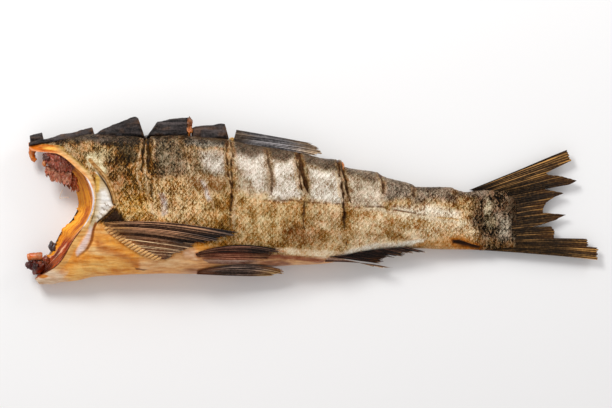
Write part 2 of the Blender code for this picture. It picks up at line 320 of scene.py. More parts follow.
def rope(path, radius, around, flat=1.0, bumpy=0.0, seed=0.0):
    """The rings of a tube along a path, its radius for each point, flat times as high as it is wide."""
    path = np.asarray(path, float)
    along = np.gradient(path, axis=0)
    along /= np.linalg.norm(along, axis=1, keepdims=True)
    side = np.cross(along, [0.0, 0.0, 1.0])
    side /= np.linalg.norm(side, axis=1, keepdims=True) + 1e-9
    up = np.cross(side, along)
    turn = np.linspace(0, 2 * np.pi, around, endpoint=False)
    radius = np.broadcast_to(radius, len(path))[:, None, None]
    out = side[:, None] * np.cos(turn)[:, None] + flat * up[:, None] * np.sin(turn)[:, None]
    rows = np.arange(len(path))[:, None]
    lumps = 1 + bumpy * noise(rows * 0.7, np.cos(turn) * 1.6 + 3 * np.sin(turn), seed)
    return path[:, None] + out * radius * lumps[..., None]


# ---------------------------------------------------------------- materials


class Field:
    """A number in a material's node tree, whose arithmetic adds the nodes that work it out."""

    def __init__(self, tree, socket):
        self.tree = tree
        self.socket = socket

    def math(self, kind, *others):
        node = self.tree.nodes.new("ShaderNodeMath")
        node.operation = kind
        for slot, value in zip(node.inputs, (self, *others)):
            if isinstance(value, Field):
                self.tree.links.new(value.socket, slot)
            else:
                slot.default_value = value
        return Field(self.tree, node.outputs[0])

    def __add__(self, other):
        return self.math("ADD", other)

    def __sub__(self, other):
        return self.math("SUBTRACT", other)

    def __mul__(self, other):
        return self.math("MULTIPLY", other)

    def floor(self):
        return self.math("FLOOR")

    def below(self, other):
        return self.math("LESS_THAN", other)

    def eased(self, start, end):
        node = self.tree.nodes.new("ShaderNodeMapRange")
        node.interpolation_type = "SMOOTHSTEP"
        self.tree.links.new(self.socket, node.inputs["Value"])
        node.inputs["From Min"].default_value = start
        node.inputs["From Max"].default_value = end
        return Field(self.tree, node.outputs["Result"])


def attribute(tree, name):
    node = tree.nodes.new("ShaderNodeAttribute")
    node.attribute_name = name
    return node


def texture(tree, vector, scale, stretch):
    """Noise around 0, within about half a unit either way, stretched along the axes."""
    mapping = tree.nodes.new("ShaderNodeMapping")
    tree.links.new(vector, mapping.inputs["Vector"])
    mapping.inputs["Scale"].default_value = stretch
    node = tree.nodes.new("ShaderNodeTexNoise")
    tree.links.new(mapping.outputs[0], node.inputs["Vector"])
    node.inputs["Scale"].default_value = scale
    node.inputs["Detail"].default_value = 2.0
    node.inputs["Roughness"].default_value = 0.55
    return Field(tree, node.outputs["Fac"]) - 0.5


def scale_pattern(tree, lattice):
    """(distance ahead of a scale's free edge in scale pitches, a random number for each scale).

    Scales stand in rows, every second row half a pitch back, and each covers the front of those
    behind it. Of the two scales that reach a point, the one nearer the head is on top.
    """
    split = tree.nodes.new("ShaderNodeSeparateXYZ")
    tree.links.new(lattice, split.inputs[0])
    along, across = Field(tree, split.outputs[0]), Field(tree, split.outputs[1])
    found = []
    for shift in (0.0, 0.5):
        row = (across * 0.5 - shift + 0.5).floor()
        off = (across * 0.5 - shift - row) * 2.0
        edge = along + off * off * SCALE_BEND - shift
        number = edge.floor() + 1.0
        found.append((number + shift, number - edge, row * 2.0 + 2.0 * shift))
    first_on_top = found[0][0].below(found[1][0])
    place, ahead, row = (b + first_on_top * (a - b) for a, b in zip(*found))
    spot = tree.nodes.new("ShaderNodeCombineXYZ")
    tree.links.new(place.socket, spot.inputs[0])
    tree.links.new(row.socket, spot.inputs[1])
    chance = tree.nodes.new("ShaderNodeTexWhiteNoise")
    tree.links.new(spot.outputs[0], chance.inputs["Vector"])
    return ahead, Field(tree, chance.outputs["Value"])


def surface(name, rough, grain, relief, specular=0.35, coat=0.0, coat_rough=0.2, warp=None, mottle=None,
            smooth=None, streaks=None, scales=0.0, tint=0.0, curve=1.0, sheen=(1, 1, 1)):  # fmt: skip
    """A material that mixes a piece's deep and bright tones.

    grain, warp, mottle and smooth are (scale per metre, stretch, strength) in space, and streaks the
    same in the piece's own lattice. With smooth, grain and warp show where the piece is scaly and
    smooth where it isn't. relief is the depth of the bumps in millimetres, scales how strongly the
    scales show, with a painted highlight on each free edge and painted shade behind it, tint how far
    the hue wanders, curve how much darker the middle tones are, and sheen the tint of the gloss.
    """
    material = bpy.data.materials.new(name)
    material.use_nodes = True
    tree = material.node_tree
    shader = tree.nodes["Principled BSDF"]
    deep, bright = attribute(tree, "deep"), attribute(tree, "bright")
    lattice = attribute(tree, "lattice").outputs["Vector"]
    place = tree.nodes.new("ShaderNodeTexCoord").outputs["Object"]
    scaly = Field(tree, deep.outputs["Alpha"])
    fine = texture(tree, place, grain[0], grain[1])
    speckle = fine * (2 * grain[2])
    bumps = fine
    if warp:
        drawn = texture(tree, place, warp[0], warp[1])
        speckle = speckle + drawn * (2 * warp[2])
        bumps = bumps + drawn * 0.8
    if mottle:
        speckle = speckle + texture(tree, place, mottle[0], mottle[1]) * (2 * mottle[2])
    if smooth:
        drawn = texture(tree, place, smooth[0], smooth[1])
        calm = (scaly * -1.0 + 1.0).math("MAXIMUM", 0.0)
        speckle = speckle * (scaly * 0.88 + 0.12) + drawn * calm * (2 * smooth[2])
        bumps = bumps * (scaly * 0.85 + 0.15) + drawn * calm * 1.5
    pattern = Field(tree, bright.outputs["Alpha"]) + speckle
    if streaks:
        drawn = texture(tree, lattice, streaks[0], streaks[1])
        pattern = pattern + drawn * (2 * streaks[2])
        bumps = bumps + drawn * 1.2
    if scales:
        ahead, chance = scale_pattern(tree, lattice)
        # Painted light on the scales: lip is a highlight along each free edge, and shadow is painted shade
        # just behind it, over each scale's own random tone.
        shadow = ahead.eased(0.6, 1.0)
        lip = ahead.eased(0.45, 0.05)
        glint = (chance - 0.5) * 0.55 + lip * 0.3 - shadow * 0.32
        pattern = pattern + glint * scaly * scales
        bumps = bumps + (lip * 0.8 - shadow * 0.8) * scaly
    share = pattern.eased(-0.3, 1.3).math("POWER", curve)
    mix = tree.nodes.new("ShaderNodeMix")
    mix.data_type = "RGBA"
    tree.links.new(share.socket, mix.inputs["Factor"])
    tree.links.new(deep.outputs["Color"], mix.inputs["A"])
    tree.links.new(bright.outputs["Color"], mix.inputs["B"])
    colour = mix.outputs["Result"]
    if tint:
        hue = tree.nodes.new("ShaderNodeHueSaturation")
        wander = texture(tree, place, 330, (1.2, 0.8, 0.8))
        if smooth:
            wander = wander * (scaly.math("MINIMUM", 1.0) * 0.8 + 0.2)
        tree.links.new((wander * tint + 0.5).socket, hue.inputs["Hue"])
        richness = wander * (-tint * 8) + scaly.math("MINIMUM", 1.0) * (share * -0.4 + 0.24) + 1.0
        tree.links.new(richness.socket, hue.inputs["Saturation"])
        tree.links.new(colour, hue.inputs["Color"])
        colour = hue.outputs["Color"]
    tree.links.new(colour, shader.inputs["Base Color"])
    roughness = fine * 0.2 + rough
    tree.links.new(roughness.socket, shader.inputs["Roughness"])
    bump = tree.nodes.new("ShaderNodeBump")
    bump.inputs["Strength"].default_value = 1.0
    bump.inputs["Distance"].default_value = relief * MM
    tree.links.new(bumps.socket, bump.inputs["Height"])
    tree.links.new(bump.outputs["Normal"], shader.inputs["Normal"])
    shader.inputs["Specular IOR Level"].default_value = specular
    shader.inputs["Specular Tint"].default_value = (*sheen, 1)
    shader.inputs["Coat Weight"].default_value = coat
    shader.inputs["Coat Roughness"].default_value = coat_rough
    return material


SKIN = surface(
    "scaly_skin", rough=0.36, grain=(1150, (1.5, 0.65, 0.65), 1.0), relief=0.5, specular=0.14,
    warp=(420, (2.2, 0.5, 0.5), 0.45), mottle=(75, (1.1, 0.8, 0.8), 0.5), smooth=(340, (0.35, 1.4, 1.0), 0.7),
    scales=0.55, tint=0.08, curve=1.55, sheen=(1.0, 0.86, 0.66),
)  # fmt: skip
COLLAR = surface(
    "notch_wall", rough=0.3, grain=(420, (1, 1, 1), 0.35), relief=0.5, specular=0.12, coat=0.08,
    coat_rough=0.12, streaks=(1.0, (0.2, 4.2, 1.0), 1.7),
)  # fmt: skip
HIDE = surface(
    "back_hide", rough=0.5, grain=(700, (1, 1, 1), 0.6), relief=0.35, specular=0.14,
    warp=(130, (0.35, 2.4, 1.0), 0.9),
)  # fmt: skip
FLESH = surface(
    "torn_flesh", rough=0.34, grain=(460, (1, 1, 1), 0.36), relief=0.5, coat=0.3,
    warp=(150, (0.6, 1.5, 1), 0.8), tint=0.06,
)  # fmt: skip
FIN = surface(
    "dried_fin", rough=0.42, grain=(520, (1, 1, 1), 0.5), relief=0.3, specular=0.14, coat=0.05,
    coat_rough=0.25, streaks=(1.0, (0.55, 7.0, 1.0), 0.75), curve=1.7,
)  # fmt: skip
GRISTLE = surface(
    "pale_gristle", rough=0.3, grain=(300, (1, 1, 1), 0.5), relief=0.15, coat=0.4, coat_rough=0.1,
)  # fmt: skip


# ---------------------------------------------------------------- the skin


# The scores, as lines seen from above: (line, width, depth, darkness, partly painted shade in the groove).
CUTS = (
    (((-132.7, 51), (-131.7, 39.7), (-132.1, 30.2), (-132.4, 21.5), (-131.2, 15.0)), 3.2, 3.4, 1.0),
    (((-129.6, 51), (-127.8, 39.7), (-127.8, 29.4), (-127.3, 17.0)), 3.8, 3.4, 1.0),
    (((-129.0, 20.0), (-126.2, 14.0), (-124.8, 6.7), (-124.2, -1.0)), 1.7, 1.0, 0.75),
    (((-103.6, 51), (-100.6, 41.3), (-98.0, 31.8), (-97.0, 17.6)), 1.8, 0.8, 0.45),
    (((-66.6, 46), (-66.2, 35.8), (-65.6, 25.5), (-63.8, 16.1), (-62.5, 4.5)), 1.7, 2.6, 0.95),
    (((-62.6, 46), (-62.0, 35.8), (-62.3, 23.9), (-61.4, 13.7), (-61.5, 2.0), (-63.5, -9.0), (-63.9, -21)),
     2.1, 2.2, 0.85),
    (((-34.6, 40.5), (-32.7, 27.9), (-31.1, 15.3), (-30.6, 1.5)), 2.8, 1.2, 0.6),
    (((-12.2, 36.5), (-10.1, 24.0), (-8.3, 14.6), (-6.5, 5.9), (-7.1, -2.0)), 1.8, 2.6, 0.9),
    (((-9.4, 37.0), (-7.1, 24.0), (-5.1, 16.1), (-3.1, 8.3), (-1.4, 0.0)), 4.2, 4.0, 1.0),
    (((-5.3, -1.0), (-5.1, -4.8), (-6.5, -15.1), (-5.5, -22.5)), 1.5, 0.8, 0.7),
    (((21.4, 32.0), (22.1, 24.1), (23.7, 15.4), (25.2, 7.0), (26.1, -5.1), (26.1, -19.2), (27.8, -36.1)),
     2.0, 2.6, 0.9),
    (((25.0, 28.0), (26.2, 19.4), (28.2, 11.1), (31.4, -2.0)), 3.2, 3.2, 0.95),
    (((54.4, 21.5), (55.7, 16.7), (56.7, 10.7), (57.8, 1.0)), 2.2, 1.4, 0.7),
    (((81.8, 12.5), (81.5, 8.2), (82.0, 0.5)), 2.0, 1.2, 0.6),
    (((114.6, 9.6), (115.0, 5.6), (115.4, 3.0)), 2.6, 1.2, 0.85),
)  # fmt: skip

# The pale welts beside and between them: (line, width, height).
WELTS = (
    (((-134.4, 50.2), (-134.9, 37.3), (-136.2, 23.9), (-136.2, 17.0), (-133.0, 10.6), (-131.5, 5.0)),
     1.7, 0.9),
    (((-131.0, 50.4), (-129.9, 35.7), (-129.9, 23.9), (-129.2, 14.5)), 1.2, 1.2),
    (((-124.6, 49.6), (-123.4, 42.5), (-124.2, 35.0)), 2.6, 0.7),
    (((-128.6, 14.4), (-128.0, 5.0)), 3.0, 0.6),
    (((-125.2, -2.0), (-123.9, -11.5)), 2.6, 0.6),
    (((-115.6, -3.0), (-113.6, -11.0)), 3.2, 0.6),
    (((-95.6, 27.0), (-93.4, 12.6)), 2.2, 0.5),
    (((-80.6, 11.0), (-77.8, 2.5), (-76.6, -6.5)), 2.6, 0.5),
    (((-58.6, 5.0), (-60.6, -8.6), (-60.8, -22.0)), 2.6, 0.5),
    (((-64.4, 45.2), (-63.9, 31.8), (-63.4, 20.0), (-62.7, 9.4)), 1.5, 0.9),
    (((-14.0, 30.0), (-12.6, 20.0), (-9.8, 7.0)), 1.2, 0.6),
    (((-9.6, 26.0), (-7.6, 16.0), (-5.4, 5.0)), 0.9, 0.6),
    (((19.6, 22.5), (21.4, 12.0), (22.6, 0.0)), 1.4, 0.6),
    (((24.6, 20.0), (26.0, 11.0), (28.0, 1.5)), 1.2, 0.6),
    (((22.0, -24.0), (23.6, -34.0)), 2.6, 0.5),
)  # fmt: skip


def cuts_at(x, y):
    """(depth of the scores in millimetres, how dark they are, partly with painted shade, how brown the skin
    round them is, how pale the welts are) at points seen from above."""
    depth, dark, lips, pale = np.zeros((4, *x.shape))
    wander = 0.55 * noise(x / 3, y / 3.4, 5) + 0.35 * noise(x / 1.5, y / 1.4, 6)
    for number, (path, width, most, strength) in enumerate(CUTS):
        away, along, _ = nearness(x + 0.8 * noise(y / 5.0, number * 2.3, 8), y, path, 16)
        taper = np.clip(1.15 - np.abs(2 * along - 0.75) ** 3, 0.12, 1)
        half = width / 2 * taper * (0.85 + 0.35 * noise(y / 4.0, number * 3.7, 7))
        off = away + wander
        inside = 1 - ramp(off, half * 0.35, half * 1.1)
        depth = np.maximum(depth, most * taper * inside)
        dark = np.maximum(dark, inside * strength * (0.86 + 0.3 * noise(x / 2, y / 2.6, number)))
        lips = np.maximum(lips, taper * strength * (1 - ramp(off - half, 0.0, 3.4)))
    for number, (path, width, high) in enumerate(WELTS):
        away, along, _ = nearness(x, y, path, 12)
        half = width / 2 * np.clip(1.1 - np.abs(2 * along - 1) ** 4, 0.1, 1)
        mask = 1 - ramp(away + wander, half * 0.4, half * 1.3)
        pale = np.maximum(pale, mask * (0.8 + 0.4 * noise(x / 1.6, y / 2.8, number + 30)))
        depth = depth * (1 - mask) - high * mask
    return depth, np.clip(dark, 0, 1), lips, np.clip(pale, 0, 1)


def scales_at(along, across):
    """The relief of the scales, 0 at the foot of a scale's free edge and 1 on top of it."""
    found = []
    for shift in (0.0, 0.5):
        row = np.floor(across * 0.5 - shift + 0.5)
        off = (across * 0.5 - shift - row) * 2
        edge = along + off * off * SCALE_BEND - shift
        number = np.floor(edge) + 1
        found.append((number + shift, number - edge))
    ahead = np.where(found[0][0] < found[1][0], found[0][1], found[1][1])
    return ramp(ahead, 0.95, 0.1)


# How the skin's colours lie, as (outline seen from above, softness, deep tone, bright tone, share of
# the bright one). Later areas lie over earlier ones.
AREAS = (
    # The fore flank: bronze, with a dark crown and cheek, a gilt patch partly painted highlight, and gold low
    # down.
    (((-180, 60), (-60, 60), (-64, -40), (-190, -40)), 8, (26, 8, 2), (213, 154, 82), 0.43),
    (((-200, 60), (-136, 56), (-134.9, 45), (-170.5, 44)), 3, (5, 3, 2), (118, 96, 78), 0.30),
    (((-160.3, 46.2), (-137.4, 47), (-135.1, 33.4), (-143.6, 30.2), (-153.4, 38.2)), 4,
     (6, 3, 1), (116, 90, 54), 0.25),
    (((-181, 37), (-171, 42), (-156.6, 38.2), (-150, 27), (-159, 22), (-169, 25)), 4,
     (30, 14, 3), (228, 200, 146), 0.33),
    (((-163, 29.5), (-151.6, 31.8), (-141, 22), (-143.4, 11.4), (-156.1, 11)), 4,
     (30, 10, 2), (200, 146, 88), 0.34),
    (((-154.4, 1), (-126, 3), (-94.7, 0), (-72, -9), (-75.2, -18), (-150, -16)), 6,
     (70, 26, 2), (236, 182, 94), 0.45),
    (((-127, 50), (-97, 50), (-94, 19), (-123, 17)), 5, (8, 4, 2), (170, 140, 104), 0.35),
    (((-122, 44), (-116, 44), (-110, 30), (-118, 30)), 4, (10, 6, 2), (150, 130, 98), 0.37),
    (((-126, 17), (-66, 19), (-60, -24), (-126, -12)), 7, (78, 40, 13), (240, 196, 132), 0.56),
    (((-98.7, 49), (-64, 47), (-64, 40), (-97, 42)), 2, (12, 7, 3), (186, 170, 148), 0.35),
    (((-96, 41), (-64, 39), (-64, 18), (-94, 20)), 5, (34, 16, 4), (182, 150, 108), 0.47),
    (((-86, 38), (-66, 37), (-66, 20.8), (-82, 22.3)), 4, (84, 62, 38), (226, 214, 196), 0.57),
    (((-96, 20), (-65.8, 19), (-65, 8), (-96.2, 8)), 5, (98, 58, 22), (214, 186, 146), 0.47),
    # The mid flank: silver over gold, its brightest silver and pale gold patches partly painted highlight.
    (((-61, 60), (126, 60), (126, -60), (-61, -60)), 5, (86, 46, 12), (234, 193, 133), 0.53),
    (((-60, 42), (-14, 38), (22, 30), (54, 22), (84, 14), (84, 2), (20, -1), (-30, 4), (-60, 8)), 5,
     (80, 54, 28), (210, 188, 156), 0.46),
    (((-59, 38), (-35.6, 37.5), (-33.7, 7), (-42, 9), (-50, 18), (-58.6, 28.5)), 4,
     (114, 90, 64), (240, 228, 210), 0.60),
    (((-30.7, 32), (-11.8, 29), (-9.4, 0), (-30.6, 3)), 4, (116, 92, 64), (247, 236, 219), 0.63),
    (((0, 23.3), (22, 22.5), (24, -3.4), (0.8, -1.6)), 3, (128, 106, 84), (253, 244, 226), 0.65),
    (((29, 18), (54.8, 14.7), (57, -6.6), (32.4, -5.0)), 3, (92, 70, 48), (236, 216, 188), 0.53),
    (((56.5, 20), (82, 16), (82, 3), (57.8, 2)), 3, (24, 13, 6), (194, 172, 148), 0.38),
    (((82, 14), (116, 11), (116, 0), (82, -2)), 4, (32, 18, 9), (196, 170, 142), 0.39),
    (((64, -5), (94.7, -4.4), (117, -9), (117, -17), (86.6, -17), (64, -10.7)), 4,
     (96, 56, 24), (255, 242, 214), 0.66),
    (((-119.5, 5), (-116.5, 5), (-111.5, -11), (-115, -13)), 1.5, (120, 90, 66), (240, 222, 212), 0.62),
    (((-86, 15), (-83, 15), (-77, 1), (-80, 0)), 1.5, (120, 92, 70), (240, 224, 212), 0.6),
    (((-52.5, -12), (-24, -10.6), (-22, -28), (-38.6, -34), (-52.7, -29.5)), 5,
     (104, 62, 24), (240, 206, 146), 0.58),
    (((-22, -21.6), (-4.7, -20), (9, -25), (6, -33.6), (-16.6, -32.8)), 5,
     (84, 46, 24), (212, 168, 116), 0.41),
    (((-2, -4), (24, -6), (26, -24), (14, -25), (-2, -20)), 5, (104, 64, 28), (240, 206, 156), 0.58),
    (((93, -26.7), (120, -22), (133, -28), (130, -45), (93, -45)), 5,
     (98, 54, 18), (232, 178, 112), 0.52),
    (((35, -6), (130, -16), (132, -45), (35, -45)), 6, (124, 82, 44), (255, 224, 174), 0.68),
    (((46, -26), (62, -25), (80, -27), (78, -30), (60, -29)), 3, (70, 34, 8), (206, 160, 96), 0.45),
    # The dark band along the top of the mid flank.
    (((-64, 55), (-9, 44), (24, 36), (23, 23), (-8.7, 30.6), (-62, 37)), 2.6,
     (34, 24, 16), (132, 110, 88), 0.46),
    (((24, 40), (54, 26), (82, 18), (116, 14), (116, 6), (82, 9), (54, 15.5), (25, 21)), 2.6,
     (44, 33, 28), (166, 144, 118), 0.42),
    # The speckled root of the tail, with two olive patches.
    (((121, 20), (170, 20), (176, -60), (133, -60), (128, -38), (135, -27), (127, -15), (132, -4)), 5,
     (2, 1, 1), (166, 128, 90), -0.01),
    (((133, -31.5), (146, -32), (158, -31), (170, -30), (170, -50), (133, -48)), 2.4,
     (22, 11, 2), (158, 112, 56), 0.26),
    (((103, 16), (140, 16), (140, 3), (103, 4)), 4, (46, 34, 27), (166, 142, 116), 0.40),
    (((140, 2), (146.5, -1.2), (144.8, -10.8), (139.9, -10)), 2, (70, 52, 18), (226, 206, 164), 0.50),
    (((139.9, -13.2), (149, -11), (148, -21), (141, -24)), 2, (20, 12, 4), (184, 160, 118), 0.40),
    (((150, -10), (162, -14), (164, -28), (152, -30)), 4, (4, 3, 1), (206, 186, 156), 0.36),
    (((158, 14), (175, 14), (175, -50), (163, -32)), 3, (4, 2, 1), (78, 54, 28), 0.33),
)  # fmt: skip


def paint_skin(x, y, down, near, cuts):
    """The two tones of the skin at each point."""
    _, dark, lips, pale = cuts
    wide = 2.4 * noise(x / 13, y / 9, 1) + 1.4 * noise(x / 4.5, y / 6, 2)
    high = 2.0 * noise(x / 12, y / 8, 3) + 1.2 * noise(x / 4, y / 5, 4)
    coat = Coat(x.shape, (60, 36, 16), (200, 158, 102), 0.46, 1.0)
    lay, bare = coat.lay, coat.bare
    for outline, soft, deep, bright, share in AREAS:
        lay(patch(x + wide, y + high, outline, soft), deep, bright, share)
    coat.share += 0.2 * noise(x / 9, y / 5, 5) + 0.1 * noise(x / 3.4, y / 4.4, 6)
    coat.share += 0.16 * noise(x / 24, y / 11, 7)
    # The crest between the slabs is darkened with painted shade, where the slabs stand on it.
    fade = (0.02, 0.06) if near else (0.1, 0.2)
    crest = (1 - ramp(down + 0.015 * noise(x / 5, 0, 17), *fade)) * (1 - ramp(x, -66, -60))
    lay(0.9 * crest, (8, 5, 3), (112, 90, 68), 0.3)
    # The speckle is stronger on the shoulder and at the tail.
    coat.scaly += 0.8 * (1 - ramp(x, -105, -70)) + 0.4 * ramp(x, 60, 100) + 1.6 * ramp(x, 118, 134)
    # The orange skin along the belly, towards the tail.
    lay(patch(x + 2 * wide, y + high, UNDER, 6.5), (124, 72, 28), (242, 192, 128), 0.56, 0.7)
    # The pale band over the anal fin, partly painted highlight.
    lay(patch(x, y + 0.5 * high, BELLY_LINE, 1.4), (176, 136, 92), (255, 248, 226), 0.76, 0.7)
    # The smooth belly: orange tan in front, and redder round the pelvic fins.
    smooth = patch(x + 0.5 * wide, y + 0.5 * high, BELLY, 3.0)
    drift = noise(x / 34, y / 5.5 + x / 30, 12) + 0.4 * noise(x / 14, y / 2.6 + x / 26, 13)
    bare(smooth, (194, 100, 20), (255, 188, 90), 0.64)
    # Lighter streaks, partly painted highlight along the glossy belly, and darker orange ones.
    bare(0.9 * smooth * ramp(drift, 0.1, 1.0), (214, 146, 76), (255, 226, 166), 0.64)
    bare(0.85 * smooth * ramp(-drift, 0.1, 1.0), (150, 68, 10), (232, 142, 54), 0.46)
    # Gold towards the throat, a brown fold under the pectoral fin, and a small dark slit by the edge.
    bare(smooth * patch(x + wide, y + high, BELLY_GOLD, 5.0), (206, 126, 44), (255, 212, 128), 0.62)
    bare(0.8 * smooth * patch(x + wide, y + 0.6 * high, BELLY_FOLD, 3.0), (150, 72, 20), (226, 146, 72),
         0.46)
    # A pale patch low on the belly, partly painted highlight.
    bare(smooth * patch(x + 2.0 * wide, y, PALE_BELLY, 5.0), (200, 132, 68), (254, 218, 166), 0.6)
    rosy = patch(x + 2.2 * wide, y + 0.3 * high, ROSY, 4.5) * ramp(x + 4 * wide, -102, -76)
    bare(rosy, (170, 98, 50), (252, 206, 146), 0.6)
    bare(0.8 * rosy * ramp(noise(x / 30, y / 2.2, 14), 0.0, 0.6), (86, 40, 22), (180, 110, 76), 0.42)
    # Pale streaks on the rosy belly, partly painted highlight.
    bare(rosy * ramp(noise(x / 26, y / 1.9, 15), 0.2, 0.7), (180, 114, 78), (250, 212, 176), 0.56)
    # Behind the pelvic fins: a cream line over a reddish brown one.
    lay(patch(x + wide, y + 0.4 * high, CREAM_LINE, 1.2), (180, 128, 74), (255, 236, 198), 0.66, 0.6)
    lay(patch(x + wide, y + 0.3 * high, RUST_LINE, 0.9), (110, 52, 28), (214, 146, 104), 0.44, 0.1)
    bare(0.8 * patch(x + wide, y + high, PELVIC_SPOT, 2.4), (206, 150, 104), (255, 228, 196), 0.6)
    bare(patch(x, y + 0.3 * high, SLIT, 0.6), (40, 12, 6), (110, 56, 30), 0.3)
    # The vent: a dark slot with an orange rim.
    lay(0.8 * patch(x + 0.4 * high, y + 0.4 * wide, VENT_RIM, 2.2), (110, 46, 4), (226, 140, 50), 0.45, 0.3)
    bare(patch(x + 0.4 * high, y + 0.35 * wide, VENT, 1.0), (8, 3, 1), (80, 30, 10), 0.26)
    # The lateral line, dark and broken in the middle of the body and light towards the tail.
    tall = back(x) - belly(x)
    run = np.abs(down - lateral_line(x) - 0.008 * noise(x / 7, 0, 9)) * tall
    dashes = ramp(noise(x / 2.2, 0, 15), -0.75, 0.1)
    thin = (1 - ramp(run, 0.3, 0.9)) * span(x, -44, -30, 112, 125) * dashes
    lay(0.7 * thin * (1 - ramp(x, 76, 96)), (56, 30, 12), (150, 96, 52), 0.34, 0.4)
    under = span((down - lateral_line(x)) * tall, 0.3, 1.0, 2.2, 5.0) * span(x, 30, 50, 116, 130)
    lay(0.7 * under, (120, 80, 40), (255, 240, 206), 0.62, 0.5)
    lay(0.6 * thin * ramp(x, 86, 100), (130, 80, 34), (240, 196, 120), 0.5, 0.2)
    if near:
        paint_shoulder(x, y, lay, bare)
    # The scores: dark inside, partly the cut's own brown and partly painted shade in the groove, with golden
    # brown skin round them, and pale welts.
    lay(lips * 0.62, (66, 38, 14), (206, 158, 98), 0.44)
    lay(pale * 0.75, (128, 88, 48), (246, 222, 184), 0.54, 0.4)
    bare(dark, (9, 4, 1), (66, 34, 12), 0.28)
    lay(dark * ramp(x, -110, -90), (40, 19, 6), (128, 78, 36), 0.36, 0.1)
    return coat.grids()


def from_edge(x, y, a, b):
    """(how far from a to b the part nearest to each point x, y lies, the way in x and y from it)."""
    edge = b - a
    t = np.clip(((x - a[0]) * edge[0] + (y - a[1]) * edge[1]) / (edge @ edge), 0, 1)
    return t, x - a[0] - t * edge[0], y - a[1] - t * edge[1]


def nearness(x, y, points, count=60):
    """(distance from each point x, y to a smooth line, how far along the line the nearest part is,
    on which side of it the point lies)."""
    path = line(points, count)
    best = np.full(x.shape, 1e9)
    along = np.zeros(x.shape)
    side = np.zeros(x.shape)
    for k, (a, b) in enumerate(zip(path[:-1], path[1:])):
        t, dx, dy = from_edge(x, y, a, b)
        away = np.hypot(dx, dy)
        closer = away < best
        best = np.where(closer, away, best)
        along = np.where(closer, (k + t) / (count - 1), along)
        side = np.where(closer, (b - a)[0] * dy - (b - a)[1] * dx, side)
    return best, along, np.sign(side)


def patch(x, y, outline, soft):
    """1 well inside an outline seen from above, 0 well outside it, and soft millimetres each way between."""
    outline = np.array(outline, float)
    away = np.full(x.shape, 1e9)
    inside = np.zeros(x.shape, bool)
    for a, b in zip(outline, np.roll(outline, -1, axis=0)):
        away = np.minimum(away, np.hypot(*from_edge(x, y, a, b)[1:]))
        if a[1] != b[1]:
            crossed = (a[1] > y) != (b[1] > y)
            inside ^= crossed & (x < a[0] + (y - a[1]) / (b - a)[1] * (b - a)[0])
    return ramp(np.where(inside, away, -away), -soft, soft)


# Lines and outlines on the near side, seen from above: the shoulder bone and its ridge, the armpit,
# the girdle below the notch, the throat, the belly and its spots, folds and lines, the pale and the
# orange skin towards the tail, the vent, and the root of the pectoral fin.
RIDGE = ((-174.0, 31.9), (-169.9, 27.1), (-165.2, 22.4), (-158.8, 13.7), (-154.8, 4.3), (-153.6, -1.2))
BONE = ((-169.6, 19.5), (-168.6, 22.2), (-164.9, 18.5), (-161.7, 14.5), (-159.2, 8.2), (-156.8, 2),
        (-155.7, -4), (-161.7, -11.4), (-168.2, -16.9), (-174, -24), (-175.5, -22), (-170.5, -12),
        (-168.8, 0.4), (-168.9, 9.8))
BONE_EDGE = ((-169.0, 22.4), (-164.9, 18.5), (-161.7, 14.5), (-159.2, 8.2), (-156.8, 2.0), (-155.7, -4.3))
BONE_HIGHLIGHT = ((-166, 8), (-161, 10), (-156, 0), (-155, -5), (-163, -12), (-168, -16), (-167, -8))
BONE_GOLD = ((-167.6, 21), (-168.0, 14), (-168.4, 8))
BONE_FAN = ((-163, -2), (-155, -1), (-155, -6), (-168, -17.5), (-168, -12))
GILT = ((-177.3, 35), (-172.5, 37.5), (-165.0, 31.9), (-159.8, 22.0), (-164, 19.2), (-169.0, 23.4),
        (-175.5, 28.2))
PIT = ((-166.5, -17.6), (-160.1, -12.2), (-155.3, -8.2), (-153.7, -5.9), (-149.0, -10.6), (-145.5, -17.6),
       (-157.9, -19.2))
PIT_EDGE = ((-155.0, -6.4), (-162.0, -12.4), (-168.6, -18.0), (-171.6, -23.4))
GIRDLE = ((-171.5, -22), (-173.4, -20.6), (-178, -28.6), (-182.6, -34.6), (-186.2, -40.8), (-184.8, -43.6),
          (-179.2, -38.8), (-174.6, -31.4))
SEAM = ((-169.4, -18), (-171.4, -24), (-172.8, -31), (-176.6, -38), (-185, -46))
THROAT = ((-224, -52), (-214, -50.5), (-206, -53), (-196, -58), (-196, -64), (-206, -72), (-226, -72))
BELLY = ((-214, -50), (-200, -40), (-186, -30), (-176, -18), (-168, -17), (-163, -18.5), (-150, -30),
         (-134, -43), (-116, -46.5), (-104, -40), (-90, -33.8), (-70, -36.5), (-60, -46), (-50, -62),
         (-230, -90))
PALE_BELLY = ((-134, -48), (-120, -46), (-104, -43), (-92, -44), (-88, -52), (-104, -56), (-134, -55))
BELLY_GOLD = ((-196, -62), (-182, -50), (-160, -46), (-140, -49), (-146, -53), (-170, -56), (-190, -66))
BELLY_FOLD = ((-170, -30), (-160, -36), (-146, -44), (-128, -50), (-112, -49), (-128, -54), (-150, -47),
              (-168, -38))
PELVIC_SPOT = ((-99, -39.5), (-91, -38.5), (-88, -42), (-89, -46.5), (-97, -45))
CREAM_LINE = ((-27, -37.4), (-10, -37.4), (8, -39.2), (26, -40.4), (14, -45.8), (-4, -43.8), (-24, -41.6))
RUST_LINE = ((-38, -42.6), (-18, -43.4), (-2, -45.2), (12, -47.6), (8, -49.6), (-14, -47), (-38, -46.6))
SLIT = ((-139.4, -53.6), (-134, -54.6), (-130.6, -54.4), (-133, -55.4), (-138.6, -54.8))
ROSY = ((-106, -43), (-60, -45), (-30, -46), (10, -43), (26, -47), (6, -66), (-100, -70), (-106, -52))
BELLY_LINE = ((13.6, -50), (27, -39.6), (48.5, -34.8), (72.5, -32.9), (92, -30.2), (90, -33), (71.4, -37.6),
              (48.9, -40.2), (29.6, -44.6))
